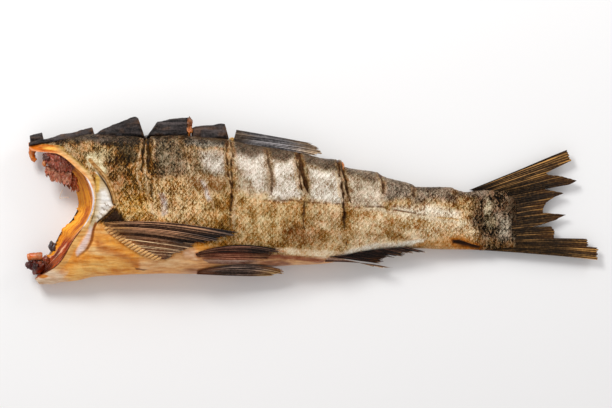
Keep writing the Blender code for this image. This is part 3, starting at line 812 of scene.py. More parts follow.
UNDER = ((76, -34.5), (96, -31.5), (112, -27), (122, -27), (130, -33), (131, -44), (76, -44))
VENT = ((112.8, -32.0), (118, -31.8), (127.4, -34.6), (136, -37), (134, -38.8), (124, -37.4), (113.6, -35.4))
VENT_RIM = ((110.6, -29.8), (118, -29.6), (128, -31.8), (137, -35.6), (134, -40), (113, -38))
FIN_ROOT = ((-161.5, -21.5), (-156, -26.6), (-148, -32.4), (-139, -38.6), (-130, -43.2), (-123, -46.6))


def paint_shoulder(x, y, lay, bare):
    """The cream edge of the notch, the white shoulder bone behind it and the bronze skin round it."""
    # Points behind the shoulder are taken out of its reach.
    front = x < -120
    x, y = np.where(front, x, 0), np.where(front, y, 500)
    down = share_at(x, y)
    reach = np.linspace(0, 1, 60)
    rim = near_edge(reach)
    edge_line = np.stack([rim, back(rim) * (1 - reach) + belly(rim) * reach], -1)
    inset, along, _ = nearness(x, y, edge_line, 80)
    ridge, along_ridge, side = nearness(x, y, RIDGE)
    streak = noise(along * 34, inset / 1.3, 11)
    # The glossy gilt skin in front of the ridge, partly a painted highlight on its gloss.
    lay(patch(x, y, GILT, 2.5), (120, 84, 30), (255, 242, 200), 0.58, 0.6)
    # The white bone between the edge and the ridge, golden where it meets the edge.
    bone = patch(x + 0.4 * streak, y, BONE, 0.9)
    bare(bone, (150, 118, 70), (232, 214, 176), 0.5)
    # A painted white highlight on the bone's gloss.
    bare(bone * patch(x, y, BONE_HIGHLIGHT, 3.0), (190, 178, 160), (250, 248, 244), 0.7)
    bare(bone * (1 - ramp(nearness(x, y, BONE_GOLD)[0], 0.8, 3.0)), (170, 118, 40), (240, 200, 104))
    lines = ramp(np.sin(1.5 * (x * 0.55 + y * 0.83) + 1.6 * streak), 0.5, 0.95) * 0.8
    bare(bone * patch(x, y, BONE_FAN, 1.2) * lines, (90, 66, 48), (170, 142, 116), 0.4)
    # The ridge: a white line, a golden brown welt, and a dark line on its far side.
    bare(1 - ramp(nearness(x, y, BONE_EDGE)[0], 0.3, 0.8), (214, 190, 150), (255, 252, 240), 0.7)
    bare(1 - ramp(ridge, 1.0, 2.0), (104, 60, 20), (222, 170, 98), 0.44)
    bare((1 - ramp(ridge, 0.2, 0.7)) * ramp(along_ridge, 0.1, 0.3), (150, 100, 44), (246, 216, 160))
    lay(span(ridge * -side, 1.6, 2.0, 2.4, 3.6) * ramp(along_ridge, 0.2, 0.4), (40, 22, 8), (120, 80, 40),
        0.35, 0.2)
    # The hollow of the armpit, a wedge over the root of the pectoral fin, dark with painted shade, and a line
    # of painted shade along its edge.
    lay(patch(x + streak, y + 0.8 * streak, PIT, 1.6), (8, 4, 3), (92, 64, 46), 0.3, 0.5)
    bare(1 - ramp(nearness(x, y, PIT_EDGE)[0], 0.3, 0.9), (40, 24, 14), (90, 60, 36), 0.3)
    # The cream band along the edge of the notch, orange at the nape.
    wide = through((0, 7.0), (0.07, 6.4), (0.11, 5.0), (0.2, 5.4), (0.34, 4.4), (0.42, 2.4), (0.6, 2.2),
                   (0.7, 4.6), (1, 4.6))(down)
    band = 1 - ramp(inset + 0.5 * streak, wide * 0.78, wide * 1.05)
    bare(band, (178, 118, 56), (250, 220, 160), 0.56)
    bare(band * (1 - ramp(inset, wide * 0.25, wide * 0.5)) * (1 - ramp(down, 0.34, 0.44)), (196, 118, 50),
         (252, 206, 140), 0.55)
    bare(band * ramp(inset, wide * 0.6, wide * 0.9) * (1 - ramp(down, 0.2, 0.34)), (110, 78, 20),
         (206, 168, 76), 0.45)
    bare(band * (1 - ramp(x, -207, -198)), (150, 56, 4), (236, 132, 26), 0.5)
    bare(band * (1 - ramp(x, -207, -198)) * (1 - ramp(inset, 0.6, 1.6)), (190, 100, 50), (250, 186, 130),
         0.52)
    # A painted yellow highlight on the orange at the nape.
    bare(band * span(x, -216, -210, -204, -198) * span(inset, 2.0, 3.0, 4.0, 5.2), (190, 110, 20),
         (255, 206, 100), 0.6)
    # Below: the gold band, the lavender white girdle behind it, its white partly a painted highlight, and the
    # brown seam.
    low = ramp(down, 0.6, 0.68) * (1 - ramp(down, 0.93, 0.99))
    bare(low * (1 - ramp(inset, wide, wide * 1.2)), (196, 126, 54), (246, 204, 130), 0.5)
    bare(0.85 * patch(x + 0.4 * streak, y, GIRDLE, 1.7), (200, 168, 154), (252, 240, 238), 0.62)
    seam, along_seam, _ = nearness(x, y, SEAM)
    bare((1 - ramp(seam, 0.5, 1.5)) * (1 - ramp(along_seam, 0.6, 1.0)), (120, 60, 18), (186, 112, 48))
    # The pale throat.
    bare(patch(x + 3 * streak, y, THROAT, 5.5), (190, 136, 90), (254, 236, 206), 0.58)
    bare(1 - ramp(np.hypot((x + 214) / 5, (y + 60.5) / 1.5), 0.7, 1.1), (180, 96, 26), (228, 150, 66))
    # The very edge: a silver line in the middle, a dark one below.
    thin = 1 - ramp(inset, 0.5, 1.0)
    bare(thin * span(down, 0.28, 0.34, 0.62, 0.66), (190, 172, 172), (255, 250, 250), 0.75)
    bare(thin * span(down, 0.62, 0.68, 0.9, 0.96), (60, 16, 10), (130, 60, 34), 0.35)


def skin_relief(x, y, down, near, along, across, scaly, cuts):
    """How far each point of the skin stands out from the smooth form."""
    depth, _, lips, _ = cuts
    rise = 0.22 * scaly * (scales_at(along, across) - 0.5)
    rise += scaly * (0.30 * noise(x / 1.8, y / 5, 21) + 0.16 * noise(x / 1.1, y / 1.6, 20))
    rise += 0.5 * noise(x / 13, y / 9, 22) + 0.35 * scaly * noise(x / 4.6, y / 9, 24)
    rise += (1 - scaly) * (0.5 * noise(x / 30, y / 3.2 + x / 60, 23) + 0.22 * noise(x / 12, y / 1.4, 25))
    rise += 0.35 * lips - depth
    run = np.abs(down - lateral_line(x)) * (back(x) - belly(x))
    rise -= 0.45 * (1 - ramp(run, 0.2, 1.4)) * span(x, -50, -40, 118, 128)
    if near:
        ridge, along_ridge, side = nearness(x, y, RIDGE)
        seam, _, _ = nearness(x, y, SEAM)
        rise += 1.5 * (1 - ramp(ridge, 0.4, 2.4)) * ramp(along_ridge, 0.0, 0.3)
        rise -= 1.0 * span(ridge * -side, 1.4, 2.2, 2.8, 5.0) * ramp(along_ridge, 0.1, 0.4)
        rise -= 0.8 * (1 - ramp(seam, 0.1, 1.8))
        rise += 0.5 * patch(x, y, GIRDLE, 1.5) - 1.8 * patch(x, y, PIT, 2.0)
        rise -= 0.6 * patch(x, y, BONE, 2.5)
        rise -= 1.5 * patch(x, y, VENT, 0.8)
    return rise


def skin_side(stations, near):
    """Points, lattice, deep and bright tones of one side, for a grid of x against the angle."""
    count = (NEAR_FACES if near else FAR_FACES) + 1
    angle = np.linspace(0, np.pi, count)[None, :]
    x = stations(share_down(angle), near)
    angle = np.broadcast_to(angle, x.shape)
    down = share_down(angle)
    form = skin_point(x, angle, near)
    walk = np.hypot(np.diff(form[..., 1], axis=1), np.diff(form[..., 2], axis=1))
    round_it = np.concatenate([np.zeros((len(x), 1)), np.cumsum(walk, axis=1)], axis=1)
    along, across = form[..., 0] / SCALE_LONG, round_it / SCALE_ROW
    fx, fy = form[..., 0], form[..., 1]
    cuts = [part * (1.0 if near else (down < 0.3)) for part in cuts_at(fx, fy)]
    deep, bright = paint_skin(fx, fy, down, near, cuts)
    rise = skin_relief(fx, fy, down, near, along, across, deep[..., 3], cuts)
    edge = np.sin(angle) ** 0.5
    inner = np.clip((x - x[0]) / 2.0, 0, 1) if stations is front_stations else 1.0
    rise = np.clip(rise, -8, 1.8) * (0.25 + 0.75 * edge) * inner
    made = skin_point(x, angle, near, rise)
    made[..., 2] = np.maximum(made[..., 2], lift(x))
    return made, np.stack([along, across, down], -1), deep, bright


def front_stations(down, near):
    """x of each row of points from the edge of the notch to the split."""
    edge = near_edge(down) if near else far_edge(down)
    share = np.linspace(0, 1, 100, endpoint=False)[:, None]
    front = edge * (1 - share) + SHOULDER_X * share
    rest = np.arange(SHOULDER_X, SPLIT_X + STEP / 2, STEP)[:, None]
    return np.concatenate([front, np.broadcast_to(rest, (len(rest), down.shape[1]))])


def rear_stations(down, near):
    """x of each row of points from the split to the tail's root."""
    count = int((ROOT_X - SPLIT_X) / STEP)
    rest = np.linspace(SPLIT_X, ROOT_X, count)[:, None]
    return np.broadcast_to(rest, (count, down.shape[1])).copy()


def make_skin():
    """The skin: near and far sides as one ring of points at each station, in two pieces."""
    for name, stations in (("skin_front", front_stations), ("skin_rear", rear_stations)):
        near, far = (skin_side(stations, side) for side in (True, False))
        # The far side runs back from the belly, without the two edges that the near side has.
        whole = [np.concatenate([a, b[:, -2:0:-1]], axis=1) for a, b in zip(near, far)]
        points, lattice, deep, bright = whole
        rows, around = points.shape[:2]
        faces = quads(rows, around, wrap=True)
        if stations is rear_stations:
            last = (rows - 1) * around
            faces.append([last + k for k in range(around)])
        piece(name, points, faces, SKIN, deep, bright, lattice)


# ---------------------------------------------------------------- the notch


def make_collar():
    """The curved wall of the notch, from its near to its far edge: strips of orange, pink and brown."""
    down = share_down(np.linspace(0, np.pi, NEAR_FACES + 1))
    angle = np.arccos(1 - 2 * down)
    near = skin_point(near_edge(down), angle, True)
    far = skin_point(far_edge(down), angle, False)
    along = np.gradient(near[:, :2], axis=0)
    inward = np.stack([-along[:, 1], along[:, 0]], axis=1)
    inward /= np.linalg.norm(inward, axis=1, keepdims=True)
    # d runs from the back to the belly, and w from the near to the far edge.
    across = np.linspace(0, 1, 71)[None, :, None]
    w = across[..., 0] + 0 * down[:, None]
    d = down[:, None] + 0 * w
    ragged = ramp(d, 0.44, 0.52) * (1 - ramp(d, 0.9, 0.96)) * ramp(w, 0.8, 1.0)
    ragged = ragged * (1.4 * noise(d * 46, 0, 35) + 0.9 * noise(d * 120, 0, 36))
    points = near[:, None] * (1 - across) + far[:, None] * across
    ripple = 0.8 * noise(d * 20, w * 9, 31) + 1.0 * noise(d * 5, w * 17, 32)
    ripple *= np.sin(np.pi * w) * ramp(d, 0.1, 0.25)
    depth = notch_depth(down)[:, None] * np.sin(np.pi * w) ** 0.9 + ripple
    points[..., :2] += inward[:, None] * (depth + ragged)[..., None]
    points[..., 2] += 0.8 * ripple
    coat = Coat(d.shape, (180, 74, 1), (255, 176, 44), 0.6)
    lay = coat.lay
    wobble = 0.03 * noise(d * 12, 0, 33) + 0.012 * noise(d * 50, 0, 37)
    v = w + wobble
    # The middle: an orange band, a purplish brown one, a rosy one, and orange again to the far edge.
    middle = span(d, 0.16, 0.24, 0.6, 0.68)
    lay(span(v, 0.08, 0.12, 0.28, 0.34) * middle, (232, 132, 10), (255, 210, 84), 0.82)
    lay(span(v, 0.30, 0.34, 0.38, 0.44) * middle, (140, 52, 3), (236, 128, 26), 0.56)
    lay(span(v, 0.40, 0.44, 0.58, 0.63) * middle, (118, 56, 42), (208, 134, 110), 0.52)
    lay(span(v, 0.60, 0.65, 0.70, 0.76) * span(d, 0.26, 0.34, 0.62, 0.7), (160, 90, 50), (240, 172, 120),
        0.62)
    lay(span(v, 0.76, 0.80, 0.84, 0.88) * span(d, 0.46, 0.5, 0.6, 0.66), (140, 60, 8), (214, 118, 36), 0.52)
    lay(ramp(v, 0.84, 0.9) * (1 - ramp(d, 0.6, 0.68)), (214, 104, 6), (255, 182, 58), 0.72)
    lay(span(d, 0.17, 0.22, 0.34, 0.40) * span(v, 0.06, 0.12, 0.36, 0.5), (214, 122, 8), (255, 196, 60),
        0.74)
    lay(span(v, 0.0, 0.02, 0.06, 0.1) * middle, (150, 96, 60), (236, 200, 180), 0.6)
    # The lower wall: vivid orange, with rosy brown and pale threads along it.
    low = ramp(d, 0.62, 0.7)
    lay(low, (116, 28, 1), (180, 68, 4), 0.48)
    threads = noise(d * 5 + v * 3, v * 15, 34)
    lay(low * ramp(threads, 0.15, 0.45), (176, 96, 62), (246, 186, 142), 0.65)
    lay(low * ramp(-threads, 0.15, 0.5), (104, 34, 4), (206, 96, 14), 0.52)
    lay(low * ramp(v, 0.84, 0.92) * (1 - ramp(d, 0.78, 0.84)), (200, 96, 4), (252, 168, 40), 0.65)
    lay(low * span(v, 0.03, 0.06, 0.12, 0.17), (200, 118, 44), (250, 200, 134), 0.6)
    lay(ramp(d, 0.8, 0.86) * ramp(v, 0.5, 0.75), (96, 32, 6), (190, 86, 26), 0.52)
    # The nape: orange flesh, with a pink line along its lower edge.
    lay(1 - ramp(d, 0.12, 0.17), (150, 58, 4), (240, 140, 30), 0.6)
    lay(span(d, 0.13, 0.17, 0.22, 0.27) * ramp(v, 0.12, 0.3), (70, 24, 12), (150, 76, 50), 0.52)
    lay(span(d, 0.055, 0.07, 0.11, 0.14) * (1 - ramp(v, 0.1, 0.25)), (200, 130, 100), (255, 222, 206), 0.7)
    faces = quads(*d.shape)
    lattice = np.stack([d * 30, w * 9, 0 * w], -1)
    piece("notch_wall", points, faces, COLLAR, *coat.grids(), lattice)
    # The thin bright rim along the middle of the near edge.
    here = (down > 0.31) & (down < 0.62)
    path = near[here][::2] + np.array([-0.2, 0, 0.1])
    size = 0.55 * np.sin(np.linspace(0.05, np.pi - 0.05, len(path))) ** 0.5
    rim, faces = tube(rope(path, size, around=8))
    piece("notch_rim", rim, faces, GRISTLE, *tones((176, 158, 164), (246, 240, 242), 0.6))


# ---------------------------------------------------------------- the back: slabs and dorsal fin


def make_slab(name, foot, top, height, thick, seed, shade=0.0):
    """A slab of dark back skin, lumpy, with painted shade along its foot and a painted sheen on its face.
    foot and top are its lower and upper line seen from above, and shade brightens the whole slab."""
    rows, around = 70, 60
    foot, top = line(foot, rows), line(top, rows)
    turn = np.linspace(0, 2 * np.pi, around, endpoint=False)
    out = np.sign(np.cos(turn)) * np.abs(np.cos(turn)) ** 0.55
    up = np.sign(np.sin(turn)) * np.abs(np.sin(turn)) ** 0.6
    share = (out[None, :] + 1) / 2
    flat = foot[:, None] * (1 - share[..., None]) + top[:, None] * share[..., None]
    slope = np.linspace(0, 1, rows)[:, None]
    shut = 1 - 0.35 * (1 - ramp(slope, 0, 0.06)) - 0.35 * ramp(slope, 0.94, 1)
    z = height + thick / 2 * up[None, :] * (1 - 0.25 * share) * shut
    rings = np.concatenate([flat, z[..., None]], -1)
    rough = 0.45 * noise(rings[..., 0] / 4.5, rings[..., 1] / 1.8 + rings[..., 2] / 3, seed)
    rough += 0.22 * noise(rings[..., 0] / 1.5, rings[..., 1] / 1.2, seed + 1)
    rings[..., 1] += rough * 0.6
    rings[..., 2] += rough
    points, faces = tube(rings)
    streak = noise(rings[..., 0] / 14, rings[..., 1] / 1.5, seed + 2)
    # The bright share: painted shade along the foot, a painted sheen across the upper middle of the face,
    # darker at the top edge, and streaks.
    tone = 0.22 + shade + 0.24 * streak - 0.2 * (1 - ramp(share + 0 * slope, 0.0, 0.2))
    tone += 0.14 * span(share + 0 * slope, 0.4, 0.6, 0.8, 0.95) - 0.15 * ramp(share + 0 * slope, 0.94, 1.0)
    brown = np.clip(0.5 + 1.2 * noise(rings[..., 0] / 6, rings[..., 1] / 2.5, seed + 3), 0, 1) ** 3
    brown = 0.5 * brown + 0.7 * ramp(slope, 0.95, 1.0) + 0.5 * ramp(share, 0.95, 1.0)
    brown = np.clip(brown, 0, 1)[..., None]
    deep = rgb(6, 4, 4) + brown * (rgb(20, 9, 4) - rgb(6, 4, 4))
    bright = rgb(88, 78, 76) + brown * (rgb(120, 82, 52) - rgb(88, 78, 76))
    deep = np.concatenate([deep + 0 * rings[..., :3], 0 * rings[..., :1]], -1).reshape(-1, 4)
    bright = np.concatenate([bright + 0 * rings[..., :3], np.clip(tone, 0, 1)[..., None]], -1).reshape(-1, 4)
    caps = [(grid[0], grid[-1]) for grid in (deep, bright)]
    piece(name, points, faces, HIDE, np.vstack([deep, *caps[0]]), np.vstack([bright, *caps[1]]))


def make_back():
    """The slabs that stand up from the ridge between the scores."""
    make_slab("slab_nape", [(-224.4, 45.4), (-213.8, 46.4)], [(-225.0, 51.8), (-215.6, 54.6)],
              13.1, 9, seed=1)
    make_slab("slab_1", [(-225.0, 43.4), (-212, 45.8), (-192, 46.6), (-172.4, 50.4)],
              [(-224.6, 46.6), (-213.8, 49.0), (-206.6, 50.2), (-200.2, 52.6), (-190.6, 54.2), (-180.2, 57.0),
               (-174.6, 58.2)], 18.7, 10, seed=2, shade=0.04)
    make_slab("slab_2", [(-172.4, 51.8), (-160, 49.6), (-146, 49), (-132.6, 50.6)],
              [(-169.8, 54.0), (-164.9, 57.2), (-157.4, 60.4), (-147.4, 64.2), (-140.2, 66.7),
               (-137.8, 65.8)], 22.3, 11, seed=3, shade=-0.05)
    make_slab("slab_3", [(-130.6, 50.6), (-118, 50), (-96.6, 50)],
              [(-122.2, 62.4), (-112.2, 64.7), (-101.1, 65.9), (-97.4, 66.0)], 23.9, 12, seed=4, shade=-0.1)
    make_slab("slab_4", [(-95.4, 49), (-80, 47.6), (-65.4, 48.8)],
              [(-94.8, 57.8), (-91.6, 59.1), (-80.4, 60), (-71.6, 61.3), (-68.6, 60.8)],
              21.7, 11, seed=5, shade=0.06)
    # The crust, flesh and fat at the end of the third slab, and the fat behind the fourth.
    lump("slab_3_crust", (-96.6, 61.8, 27.0), (4.2, 8.4, 5.0), 72, (52, 24, 8), (160, 98, 52), 0.42)
    lump("slab_3_flesh", (-96.8, 56.2, 27.2), (3.8, 8.0, 4.8), 71, (98, 44, 10), (214, 128, 56), 0.48, 0.6)
    lump("slab_3_fat", (-97.8, 52.6, 27.0), (3.4, 2.8, 3.0), 73, (130, 80, 34), (230, 184, 116), 0.46, 0.6)
    lump("slab_4_fat", (-62.6, 48.8, 24.0), (4.6, 2.4, 3.4), 74, (150, 96, 30), (240, 200, 120), 0.5, 0.4)


def rayed_fin(name, root, tip, rays, height, middle, tips=None, roots=None, thick=0.9, rise=0.7, fray=0.08,
              rows=60, seed=0.0, bend=(0.0, 0.0), torn=None, show=0.66, film=0.02, light=None):  # fmt: skip
    """A dried fin: a thin slab whose top is ridged by its rays, which fray at their tips.

    root and tip are lines seen from above, from the first ray to the last, and height(x, y, t) is
    the height of the fin at t, 0 at the root and 1 at the tips. middle, tips and roots are its deep
    and bright tones there. bend is how far the first and the last ray bow sideways, and torn the
    outline that the fin is torn off at. show and film are how light the rays and the membrane are,
    and light(x, y) changes the first from place to place.
    """
    # s counts the rays along the fin, and t runs from the root to the tips.
    count = rays * RAY_POINTS + 1
    s = np.linspace(0, rays, count)
    root, tip = line(root, count), line(tip, count)
    ray = np.abs(np.cos(np.pi * s))  # 1 on a ray and 0 on the membrane between two
    number = np.round(s)
    cut = fray * (0.5 + 0.5 * noise(number * 3.1, 0, seed)) + fray * 0.8 * (1 - ray) * (
        0.6 + 0.4 * noise(np.floor(s) * 5.3, 0, seed + 1)
    )
    t = np.linspace(0, 1, rows)[:, None]
    reach = 1 - np.clip(cut, 0, 0.9)
    if torn is not None:
        reach = reach * torn_reach(root, tip - root, np.array(torn, float))
    run = t * reach[None, :]
    flat = root[None] + (tip - root)[None] * run[..., None]
    way = np.gradient(root, axis=0)
    way /= np.linalg.norm(way, axis=1, keepdims=True) + 1e-9
    bow = (bend[0] * (1 - s / rays) + bend[1] * s / rays)[None] * 4 * run * (1 - run)
    sway = 0.5 * noise(number[None] * 2.3, t * 2.5, seed + 2) * t
    flat = flat + way[None] * (sway - bow)[..., None]
    ridge = rise * ray[None] ** 1.5 * (1 - 0.5 * t)
    z = height(flat[..., 0], flat[..., 1], t + 0 * flat[..., 0]) + ridge
    z = z + 0.35 * noise(number[None] * 1.7, t * 3, seed + 3) * t
    top = np.concatenate([flat, z[..., None]], -1)
    points, faces = slab(top, thick)
    on_ray = (ray[None] ** 2 + 0 * t)[..., None]
    edge = ramp(t + 0.1 * noise(number * 1.9, 0, seed + 5)[None], 0.6, 1.0)[..., None]
    start = 1 - ramp(t + 0.1 * noise(number * 1.9, 0, seed + 6)[None], 0.05, 0.3)[..., None]
    chance = 1 + 0.28 * noise(number * 7.7, 0, seed + 4)[None, :, None]
    made = []
    for low, high in (middle, tips or middle, roots or middle):
        made.append((rgb(*low) * (0.6 + 0.4 * on_ray) * chance, rgb(*high) * chance + 0 * on_ray))
    deep, bright = (
        (at_middle * (1 - edge) + at_tip * edge) * (1 - start) + at_root * start
        for at_middle, at_tip, at_root in zip(*made)
    )
    lit = np.clip(0.55 + 1.7 * noise(number * 4.3, 0, seed + 7), 0.03, 1.9)[None]
    lit = lit * np.clip(0.9 + 0.7 * noise(number[None] * 3.7, t * 5, seed + 8), 0.3, 1.5)
    if light is not None:
        lit = lit * light(flat[..., 0], flat[..., 1])
    share = (film + 1.15 * show * ray[None] ** 3 * lit)[..., None]
    deep_grid = np.concatenate([deep, 0 * share], -1).reshape(-1, 4)
    bright_grid = np.concatenate([bright, share], -1).reshape(-1, 4)
    length = np.linalg.norm(tip - root, axis=1).mean()
    weave = np.stack([run * length / 6, s[None] + 0 * t, 0 * run], -1).reshape(-1, 3)
    both_sides = (np.tile(grid, (2, 1)) for grid in (deep_grid, bright_grid, weave))
    piece(name, points, faces, FIN, *both_sides)


def torn_reach(start, way, outline):
    """How far along each way from its start, as a share, the torn outline is last crossed."""
    reach = np.zeros(len(start))
    for a, b in zip(outline[:-1], outline[1:]):
        edge, off = b - a, a - start
        turn = way[:, 0] * edge[1] - way[:, 1] * edge[0]
        turn = np.where(np.abs(turn) < 1e-9, 1e-9, turn)
        along = (off[:, 0] * edge[1] - off[:, 1] * edge[0]) / turn
        share = (off[:, 0] * way[:, 1] - off[:, 1] * way[:, 0]) / turn
        hit = (share >= 0) & (share <= 1) & (along > 0)
        reach = np.where(hit, np.maximum(reach, along), reach)
    return np.where(reach > 0, reach, 0.8)


def tatter(name, upper, lower, height, deep, bright, seed, ragged, thick):
    """A ragged flap of flesh between two lines seen from above, its lower edge in shreds."""
    count, rows = 90, 40
    upper, lower = line(upper, count), line(lower, count)
    s = np.arange(count)
    t = np.linspace(0, 1, rows)[:, None]
    shred = ragged * (noise(s / 4.0, 0, seed) + 0.7 * noise(s / 1.7, 0, seed + 1))
    way = lower - upper
    size = np.linalg.norm(way, axis=1, keepdims=True)
    flat = upper[None] + way[None] * t[..., None] * (1 + (shred / size[:, 0])[None, :, None] * t[..., None])
    flat[..., 0] += 0.9 * noise(t * 5, s[None] / 5, seed + 2)
    z = height + 1.8 * noise(t * 4, s[None] / 7, seed + 3) + 0.9 * noise(t * 9, s[None] / 2.2, seed + 4)
    top = np.concatenate([flat, z[..., None]], -1)
    points, faces = slab(top, thick)
    piece(name, points, faces, FLESH, *tones(deep, bright))


def make_dorsal():
    """The folded dorsal fin, its spines bundled flat, its rear end frayed, and a painted highlight along its
    top.
    """
    for layer, (drop, seed) in enumerate(((0.0, 1.0), (1.6, 2.0))):
        rayed_fin(
            f"dorsal_fin_{layer}",
            [(-59.4, 56.2), (-60.6, 51.5), (-61.8, 46.4 - drop)],
            [(3.6 - 3 * layer, 44.6), (9.6 - 4 * layer, 40.6), (9.0 - 5 * layer, 34.8)],
            10,
            lambda x, y, t, low=drop: 24.5 - low - 0.055 * (x + 60) + 0.8 * np.sin(y * 0.9) * (1 - t),
            thick=2.2, rise=1.5, rows=90, bend=(0.3, 0.8),
            middle=((32, 29, 30), (216, 210, 210)), tips=((104, 76, 50), (236, 206, 170)),
            roots=((46, 32, 22), (180, 156, 134)), seed=seed, show=0.86, film=0.32,
            # light paints a highlight along the top of the fin.
            light=lambda x, y: 0.2 + 2.0 * span(y - 46.0 + 0.19 * (x + 60), 2, 5, 9.4, 10.4),
        )  # fmt: skip


# ---------------------------------------------------------------- the fins of the side and belly


def over_skin(rise):
    """A height just over the near side's skin, rising from the root to the tips."""
    return lambda x, y, t: near_height(x, y) + rise * (0.4 + 0.6 * t)


def make_pectoral():
    """The pectoral fin, in two folds: dark upper rays over golden lower ones."""
    rayed_fin(
        "pectoral_upper",
        [(-163, -17.6), (-161, -20), (-157, -24), (-152, -29)],
        [(-57.0, -25.0), (-60, -28.6), (-76, -32.8), (-100, -34.4)],
        13, over_skin(2.0), rise=1.6, fray=0.07, rows=110, bend=(5.6, 2.0), show=0.76, film=0.07,
        middle=((44, 20, 9), (222, 166, 124)), tips=((6, 4, 3), (96, 82, 76)),
        roots=((112, 62, 26), (232, 176, 112)), seed=3.0,
        light=lambda x, y: 1 - 0.8 * ramp(y + 0.06 * (x + 100), -19.0, -16.5),
    )  # fmt: skip
    rayed_fin(
        "pectoral_lower",
        [(-156, -25.5), (-147, -32), (-137, -38.6), (-126, -44.6)],
        [(-84, -35.6), (-90, -38.2), (-104, -41.8), (-114, -46.4)],
        14, over_skin(1.2), rise=1.2, fray=0.12, rows=80, bend=(1.6, -1.6), show=0.9, film=0.16,
        middle=((118, 60, 26), (255, 216, 166)), tips=((64, 36, 20), (220, 180, 140)),
        roots=((196, 116, 50), (255, 220, 158)), seed=4.0,
    )  # fmt: skip
    # The row of golden ray bases.
    path = line(FIN_ROOT, 17)
    for number, (x, y) in enumerate(path):
        reach = np.linspace(-2.2, 4.8, 9)[:, None]
        way = np.array([0.90, 0.44])
        flat = np.array([x + 0.8, y]) + reach * way
        z = near_height(flat[:, 0], flat[:, 1]) + 0.7
        size = 1.35 * np.sin(np.linspace(0.15, np.pi - 0.3, 9)) ** 0.6
        points, faces = tube(rope(np.column_stack([flat, z]), size, around=8))
        piece(f"ray_base_{number:02d}", points, faces, GRISTLE,
              *tones((158, 92, 36), (250, 200, 124), 0.55))


def make_pelvic():
    """The two pelvic fins: the upper one on the belly's side, the lower one over its edge."""
    rayed_fin(
        "pelvic_upper",
        [(-91, -41.6), (-90.8, -42.8), (-90, -44.2)],
        [(-20, -40.8), (-24, -43.4), (-33, -46)],
        9, over_skin(1.4), rise=1.4, fray=0.14, rows=80, bend=(5.0, -2.2), show=0.9, film=0.12,
        middle=((98, 42, 24), (224, 152, 114)), tips=((70, 34, 18), (206, 146, 98)),
        roots=((110, 56, 34), (226, 164, 122)), seed=6.0,
    )  # fmt: skip
    rayed_fin(
        "pelvic_upper_fold",
        [(-88.6, -40.6), (-88.4, -41.6), (-88, -42.6)],
        [(-21.0, -40.2), (-25, -41.2), (-36, -42.4)],
        6, over_skin(2.2), rise=1.1, fray=0.1, rows=70, bend=(5.4, 1.4), show=0.7, film=0.06,
        middle=((26, 13, 9), (136, 98, 82)), tips=((20, 11, 7), (130, 98, 78)),
        roots=((74, 38, 24), (190, 134, 100)), seed=6.5,
    )  # fmt: skip
    rayed_fin(
        "pelvic_belly_fold",
        [(-86, -46.4), (-84, -47.8), (-80, -49.8)],
        [(-30, -46.6), (-34, -48.6), (-40, -50.8)],
        6, over_skin(0.9), rise=1.0, fray=0.3, rows=70, bend=(0.6, -0.6), show=1.0, film=0.3,
        middle=((160, 92, 62), (255, 230, 208)), tips=((104, 54, 32), (226, 172, 136)),
        roots=((190, 124, 86), (255, 220, 186)), seed=6.8,
    )  # fmt: skip

    def height(x, y, t):
        edge = belly(x) + 1.5
        skin = near_height(x, np.maximum(y, edge)) + 1.5 - 1.4 * np.maximum(edge - y, 0)
        return np.maximum(skin, 26 - 0.13 * (x + 90) - 0.6 * np.maximum(-56 - y, 0))

    rayed_fin(
        "pelvic_lower",
        [(-90, -56.2), (-90.6, -57.4), (-91, -58.6)],
        [(-18.8, -56.8), (-20, -58.4), (-30, -60)],
        9, height, rise=1.3, rows=80, bend=(6.8, -0.8), show=1.0, film=0.05,
        middle=((34, 17, 11), (238, 198, 172)), tips=((120, 66, 20), (250, 208, 136)),
        roots=((150, 88, 54), (250, 206, 168)), seed=7.0,
        light=lambda x, y: (
            0.4 + 1.3 * ramp(y, -55, -51.5) * (1 - ramp(x, -62, -46))
            + 1.2 * ramp(x, -50, -30) * ramp(-y, 53, 56)
        ),
    )  # fmt: skip


def make_anal():
    """The anal fin: a long swept front lobe, and short spikes behind it."""

    def height(x, y, t):
        edge = belly(x) + 2.2
        return np.maximum(near_height(x, np.maximum(y, edge)) + 2.0 - 0.9 * np.maximum(edge - y, 0), 13.2)

    rayed_fin(
        "anal_lobe",
        [(11, -48.8), (12, -47), (14, -45.4)],
        [(71, -55.0), (57, -54.0), (46, -52.0)],
        6, lambda x, y, t: height(x, y, t) + 0.8, rise=0.9, fray=0.12, rows=70, thick=1.4,
        bend=(-1.8, -1.2), show=0.9, film=0.06,
        middle=((96, 52, 38), (244, 200, 170)), tips=((130, 90, 54), (240, 206, 160)), seed=8.0,
    )  # fmt: skip
    rayed_fin(
        "anal_web",
        [(14, -44.6), (27, -43.4), (42, -40.2)],
        [(60, -51.4), (59, -48.6), (62, -45.0)],
        9, height, rise=1.0, fray=0.12, thick=1.2, show=0.8,
        middle=((10, 5, 4), (112, 80, 66)), tips=((40, 19, 7), (186, 122, 70)), seed=9.0,
    )  # fmt: skip
    rayed_fin(
        "anal_spikes",
        [(38, -41.0), (54, -38.8), (76, -37.0)],
        [(66, -46.4), (80, -44.4), (95, -41.4)],
        13, height, rise=0.9, fray=0.32, rows=50, thick=1.2, show=0.6,
        middle=((12, 6, 4), (130, 92, 74)), tips=((34, 18, 9), (200, 154, 104)), seed=10.0,
    )  # fmt: skip


